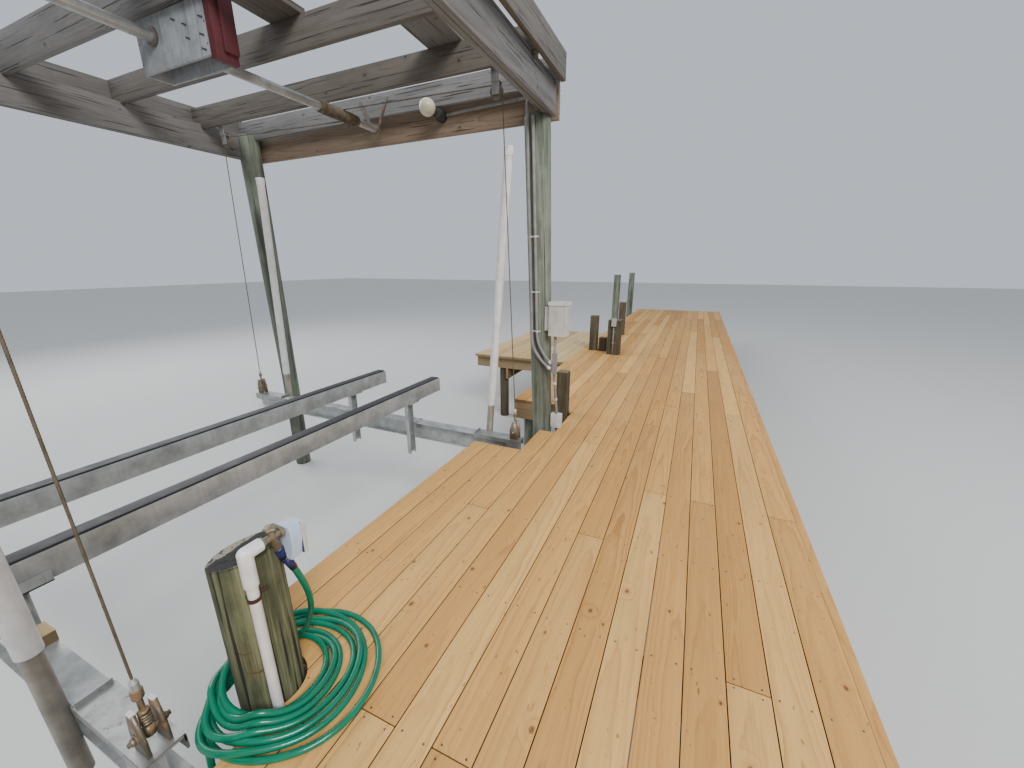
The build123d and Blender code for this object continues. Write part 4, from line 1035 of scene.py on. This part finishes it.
def knob(bm, place, height, radius, lobes=6):
    """A round handle whose rim has lobes."""
    rings = []
    for rise, share in ((0.0, 0.94), (0.002, 1.0), (height - 0.002, 1.0), (height, 0.9)):
        centre = Vector(place) + rise * UP
        rings.append(circle(bm, centre, Matrix.Identity(3), share * radius, lobes * 8, 0.0, lobes))
    skin(bm, rings)


def make_tap():
    x, y = PIPE_FOOT
    start, end = y + 0.050, y + 0.125
    middle = (start + end) / 2

    def above(rise):
        return x, middle, ELBOW_Z + rise

    bm = bmesh.new()
    rod(bm, (x, start, ELBOW_Z), (x, end, ELBOW_Z), 0.0115, sides=32)
    head(bm, (x, start, ELBOW_Z), 0.0175, 0.013, ALONG, 6)
    head(bm, (x, end - 0.015, ELBOW_Z), 0.0185, 0.015, ALONG, 8)
    rod(bm, above(0), above(0.020), 0.0125, 0.010)
    head(bm, above(0.014), 0.0125, 0.008, sides=6)
    rod(bm, above(0.018), above(0.030), 0.0045)
    rod(bm, CONNECTOR_TOP, above(0), 0.0150, 0.0120)
    bm.normal_update()
    new_piece("tap_body", bm, "brass", "jetty", ["tap"], "dull_brass")
    bm = bmesh.new()
    knob(bm, above(0.028), 0.009, 0.0225)
    head(bm, above(0.037), 0.005, 0.0025, sides=12)
    new_piece("tap_handle", bm, "brass", "jetty", ["tap"], "dull_brass")
    # The timer's tapered body, the dark seam round it and the grey panel behind
    bm = bmesh.new()
    plate(bm, x, 0, end + 0.040, end, TIMER_WIDTHS)
    bm.normal_update()
    new_piece("timer_body", bm, "timer_plastic", "jetty", ["water_timer"])
    bm = bmesh.new()
    slab(bm, both(x, 0.029), (end + 0.039, end + 0.043), (1.628, 1.744))
    bm.normal_update()
    new_piece("timer_seam", bm, "blue_plastic", "jetty")
    bm = bmesh.new()
    slab(bm, both(x, 0.031), (end + 0.042, end + 0.057), (1.626, 1.740))
    bm.normal_update()
    head(bm, (x, end + 0.057, 1.700), 0.016, 0.005, ALONG, 24)
    new_piece("timer_panel", bm, "timer_plastic", "jetty", ["water_timer"], "pale_plastic")
    bm = bmesh.new()
    rod(bm, (x, y, TIE_Z - 0.006), (x, y, TIE_Z + 0.006), 0.0200, sides=32)
    arc = [math.radians(-26.9 + 2.2 * step) for step in range(-5, 11)]
    tube(bm, [(0.110 * math.cos(a), 0.110 * math.sin(a), TIE_Z) for a in arc], 0.005, 10)
    bm.normal_update()
    new_piece("pipe_tie", bm, "white_pvc", "jetty", (), "red_tie")


# Hose
HOSE_R = 0.011
HOSE_LEAD = [
    (0.100, 0.090, 1.565),
    (0.101, 0.114, 1.490),
    (0.090, 0.136, 1.405),
    (0.062, 0.153, 1.320),
    (0.022, 0.165, 1.245),
    (-0.025, 0.166, 1.170),
]
HOSE_TAIL = [
    (-0.118, -0.088, 1.142),
    (-0.096, -0.152, 1.134),
    (-0.058, -0.200, 1.080),
    (-0.036, -0.216, 0.990),
    (-0.032, -0.220, 0.890),
]

# How far each turn lies from the piling's middle at 0, 315, 270 and so on down to 45 degrees
# from +X, from the lowest turn up
TURNS = [
    (0.340, 0.290, 0.245, 0.146, 0.160, 0.256, 0.325, 0.375),
    (0.362, 0.275, 0.222, 0.190, 0.218, 0.268, 0.300, 0.323),
    (0.310, 0.254, 0.246, 0.150, 0.150, 0.229, 0.275, 0.309),
    (0.280, 0.234, 0.198, 0.176, 0.165, 0.216, 0.250, 0.284),
    (0.245, 0.209, 0.220, 0.150, 0.140, 0.190, 0.215, 0.233),
    (0.215, 0.190, 0.175, 0.170, 0.150, 0.166, 0.190, 0.216),
    (0.190, 0.173, 0.160, 0.140, 0.134, 0.150, 0.175, 0.184),
    (0.165, 0.148, 0.150, 0.132, 0.134, 0.150, 0.168, 0.150),
]
COIL_START = 0.397
COIL_END = 7.728
POINTS_PER_TURN = 20
HOSE_SPACING = 0.0235
COIL_FLOOR = DECK_Z + HOSE_R + 0.0005


def turn_radius(turn):
    """The hose's distance from the piling's middle, after this many turns up from the lowest."""
    angles = len(TURNS[0])
    place = turn * angles
    index = int(place)
    share = place - index
    picks = []
    for offset in (-1, 0, 1, 2):
        here = max(0, min(index + offset, angles * len(TURNS) - 1))
        picks.append(TURNS[here // angles][here % angles])
    a, b, c, d = picks
    return b + 0.5 * share * (c - a + share * (2 * a - 5 * b + 4 * c - d + share * (3 * (b - c) + d - a)))


def coil_points():
    """Each stretch lies on the deck or on whatever turns pass beneath it."""
    count = round((COIL_END - COIL_START) * POINTS_PER_TURN)
    line = []
    for index in range(count + 1):
        turn = COIL_START + (COIL_END - COIL_START) * index / count
        r, z = turn_radius(turn), COIL_FLOOR
        back = index - POINTS_PER_TURN
        while back >= 0:
            apart = abs(r - line[back][1])
            if apart < HOSE_SPACING:
                z = max(z, line[back][2] + math.sqrt(HOSE_SPACING**2 - apart**2))
            back -= POINTS_PER_TURN
        line.append((turn, r, z))
    for _ in range(2):
        heights = [p[2] for p in line]
        line = [(t, r, max(z, (heights[max(0, i - 1)] + z + heights[min(count, i + 1)]) / 3))
                for i, (t, r, z) in enumerate(line)]
    return [(r * math.cos(-2 * math.pi * t), r * math.sin(-2 * math.pi * t), z) for t, r, z in line]


def make_fittings():
    """The ribbed connector under the tap and the brass end that hangs on the hose."""
    bm = bmesh.new()
    top, foot = Vector(CONNECTOR_TOP), Vector(HOSE_LEAD[0])
    along = (top - foot).normalized()
    waist = foot.lerp(top, 0.52)
    rod(bm, foot, waist, 0.0125, 0.0155, sides=32)
    rod(bm, waist, top, 0.0155, sides=32)
    rod(bm, waist, waist + along * 0.006, 0.0178, sides=32)
    rod(bm, top - along * 0.008, top, 0.0178, sides=32)
    turn = turned(along)
    for index in range(18):
        angle = 2 * math.pi * index / 18
        out = turn @ Vector((0.0155 * math.cos(angle), 0.0155 * math.sin(angle), 0))
        rod(bm, waist + out, top + out, 0.0019, sides=6)
    connector = new_piece("hose_connector", bm, "blue_plastic", "jetty", ["hose_fitting"])
    bm = bmesh.new()
    x, y, z = HOSE_TAIL[-1]
    rod(bm, (x, y, z - 0.020), (x, y, z), 0.0140, 0.0125, sides=32)
    head(bm, (x, y, z - 0.033), 0.0140, 0.014, sides=6)
    for index in range(4):
        low = z - 0.043 + 0.0028 * index
        rod(bm, (x, y, low), (x, y, low + 0.0018), 0.0125, sides=32)
    rod(bm, (x, y, z - 0.045), (x, y, z - 0.030), 0.0112, sides=32)
    end = new_piece("hose_brass_end", bm, "brass", "jetty", ["hose_end"])
    return [connector, end]


def make_hose():
    # The coil winds up from the tail to the lead, so it is read backwards from the fitting
    points = [*HOSE_LEAD[:-1], *reversed(coil_points()), *HOSE_TAIL[1:]]
    curve = bpy.data.curves.new("garden_hose", "CURVE")
    curve.dimensions = "3D"
    curve.bevel_depth = HOSE_R
    curve.bevel_resolution = 5
    curve.resolution_u = 6
    curve.use_fill_caps = True
    line = curve.splines.new("NURBS")
    line.points.add(len(points) - 1)
    for point, co in zip(line.points, points):
        point.co = (*co, 1)
    line.order_u = 3
    line.use_endpoint_u = True
    hose = add_object("garden_hose", curve)
    curve.materials.append(MATERIALS["green_hose"])
    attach(hose, "jetty")
    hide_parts("hose_lead", "hose_coil", "hose_tail")
    make_fittings()


# Lights, floor and backdrop
FLOOR_HALF = 60
LIGHTS = (
    ("key", (9.0, -6.0, 12.0), (0.0, 3.0, 1.0), 6.0, 2600),
    ("fill", (-12.0, 4.0, 9.0), (0.0, 4.0, 1.0), 8.0, 900),
)


def make_studio():
    world = bpy.data.worlds.new("studio")
    bpy.context.scene.world = world
    world.use_nodes = True
    background = world.node_tree.nodes["Background"]
    background.inputs["Color"].default_value = (0.80, 0.86, 0.95, 1)
    background.inputs["Strength"].default_value = 0.75
    floor_mesh = bpy.data.meshes.new("floor")
    corners = [(x * FLOOR_HALF, y * FLOOR_HALF, 0) for x, y in ((-1, -1), (1, -1), (1, 1), (-1, 1))]
    floor_mesh.from_pydata(corners, [], [(0, 1, 2, 3)])
    floor = add_object("floor", floor_mesh)
    paint = Shader("floor_pale", roughness=0.9)
    paint.color((0.62, 0.62, 0.60))
    floor_mesh.materials.append(paint.material)
    for name, place, aim, size, power in LIGHTS:
        data = bpy.data.lights.new(name, "AREA")
        data.size = size
        data.energy = power
        light = add_object(name, data)
        light.location = place
        light.rotation_euler = (Vector(aim) - Vector(place)).to_track_quat("-Z", "Y").to_euler()


make_materials()
make_camera()
paint_nodes()
make_hose()
make_deck()
make_screws()
make_posts()
make_eased()
make_yokes()
make_brackets()
make_falls()
make_drive()
make_fasteners()
make_straps()
make_tap()
make_studio()
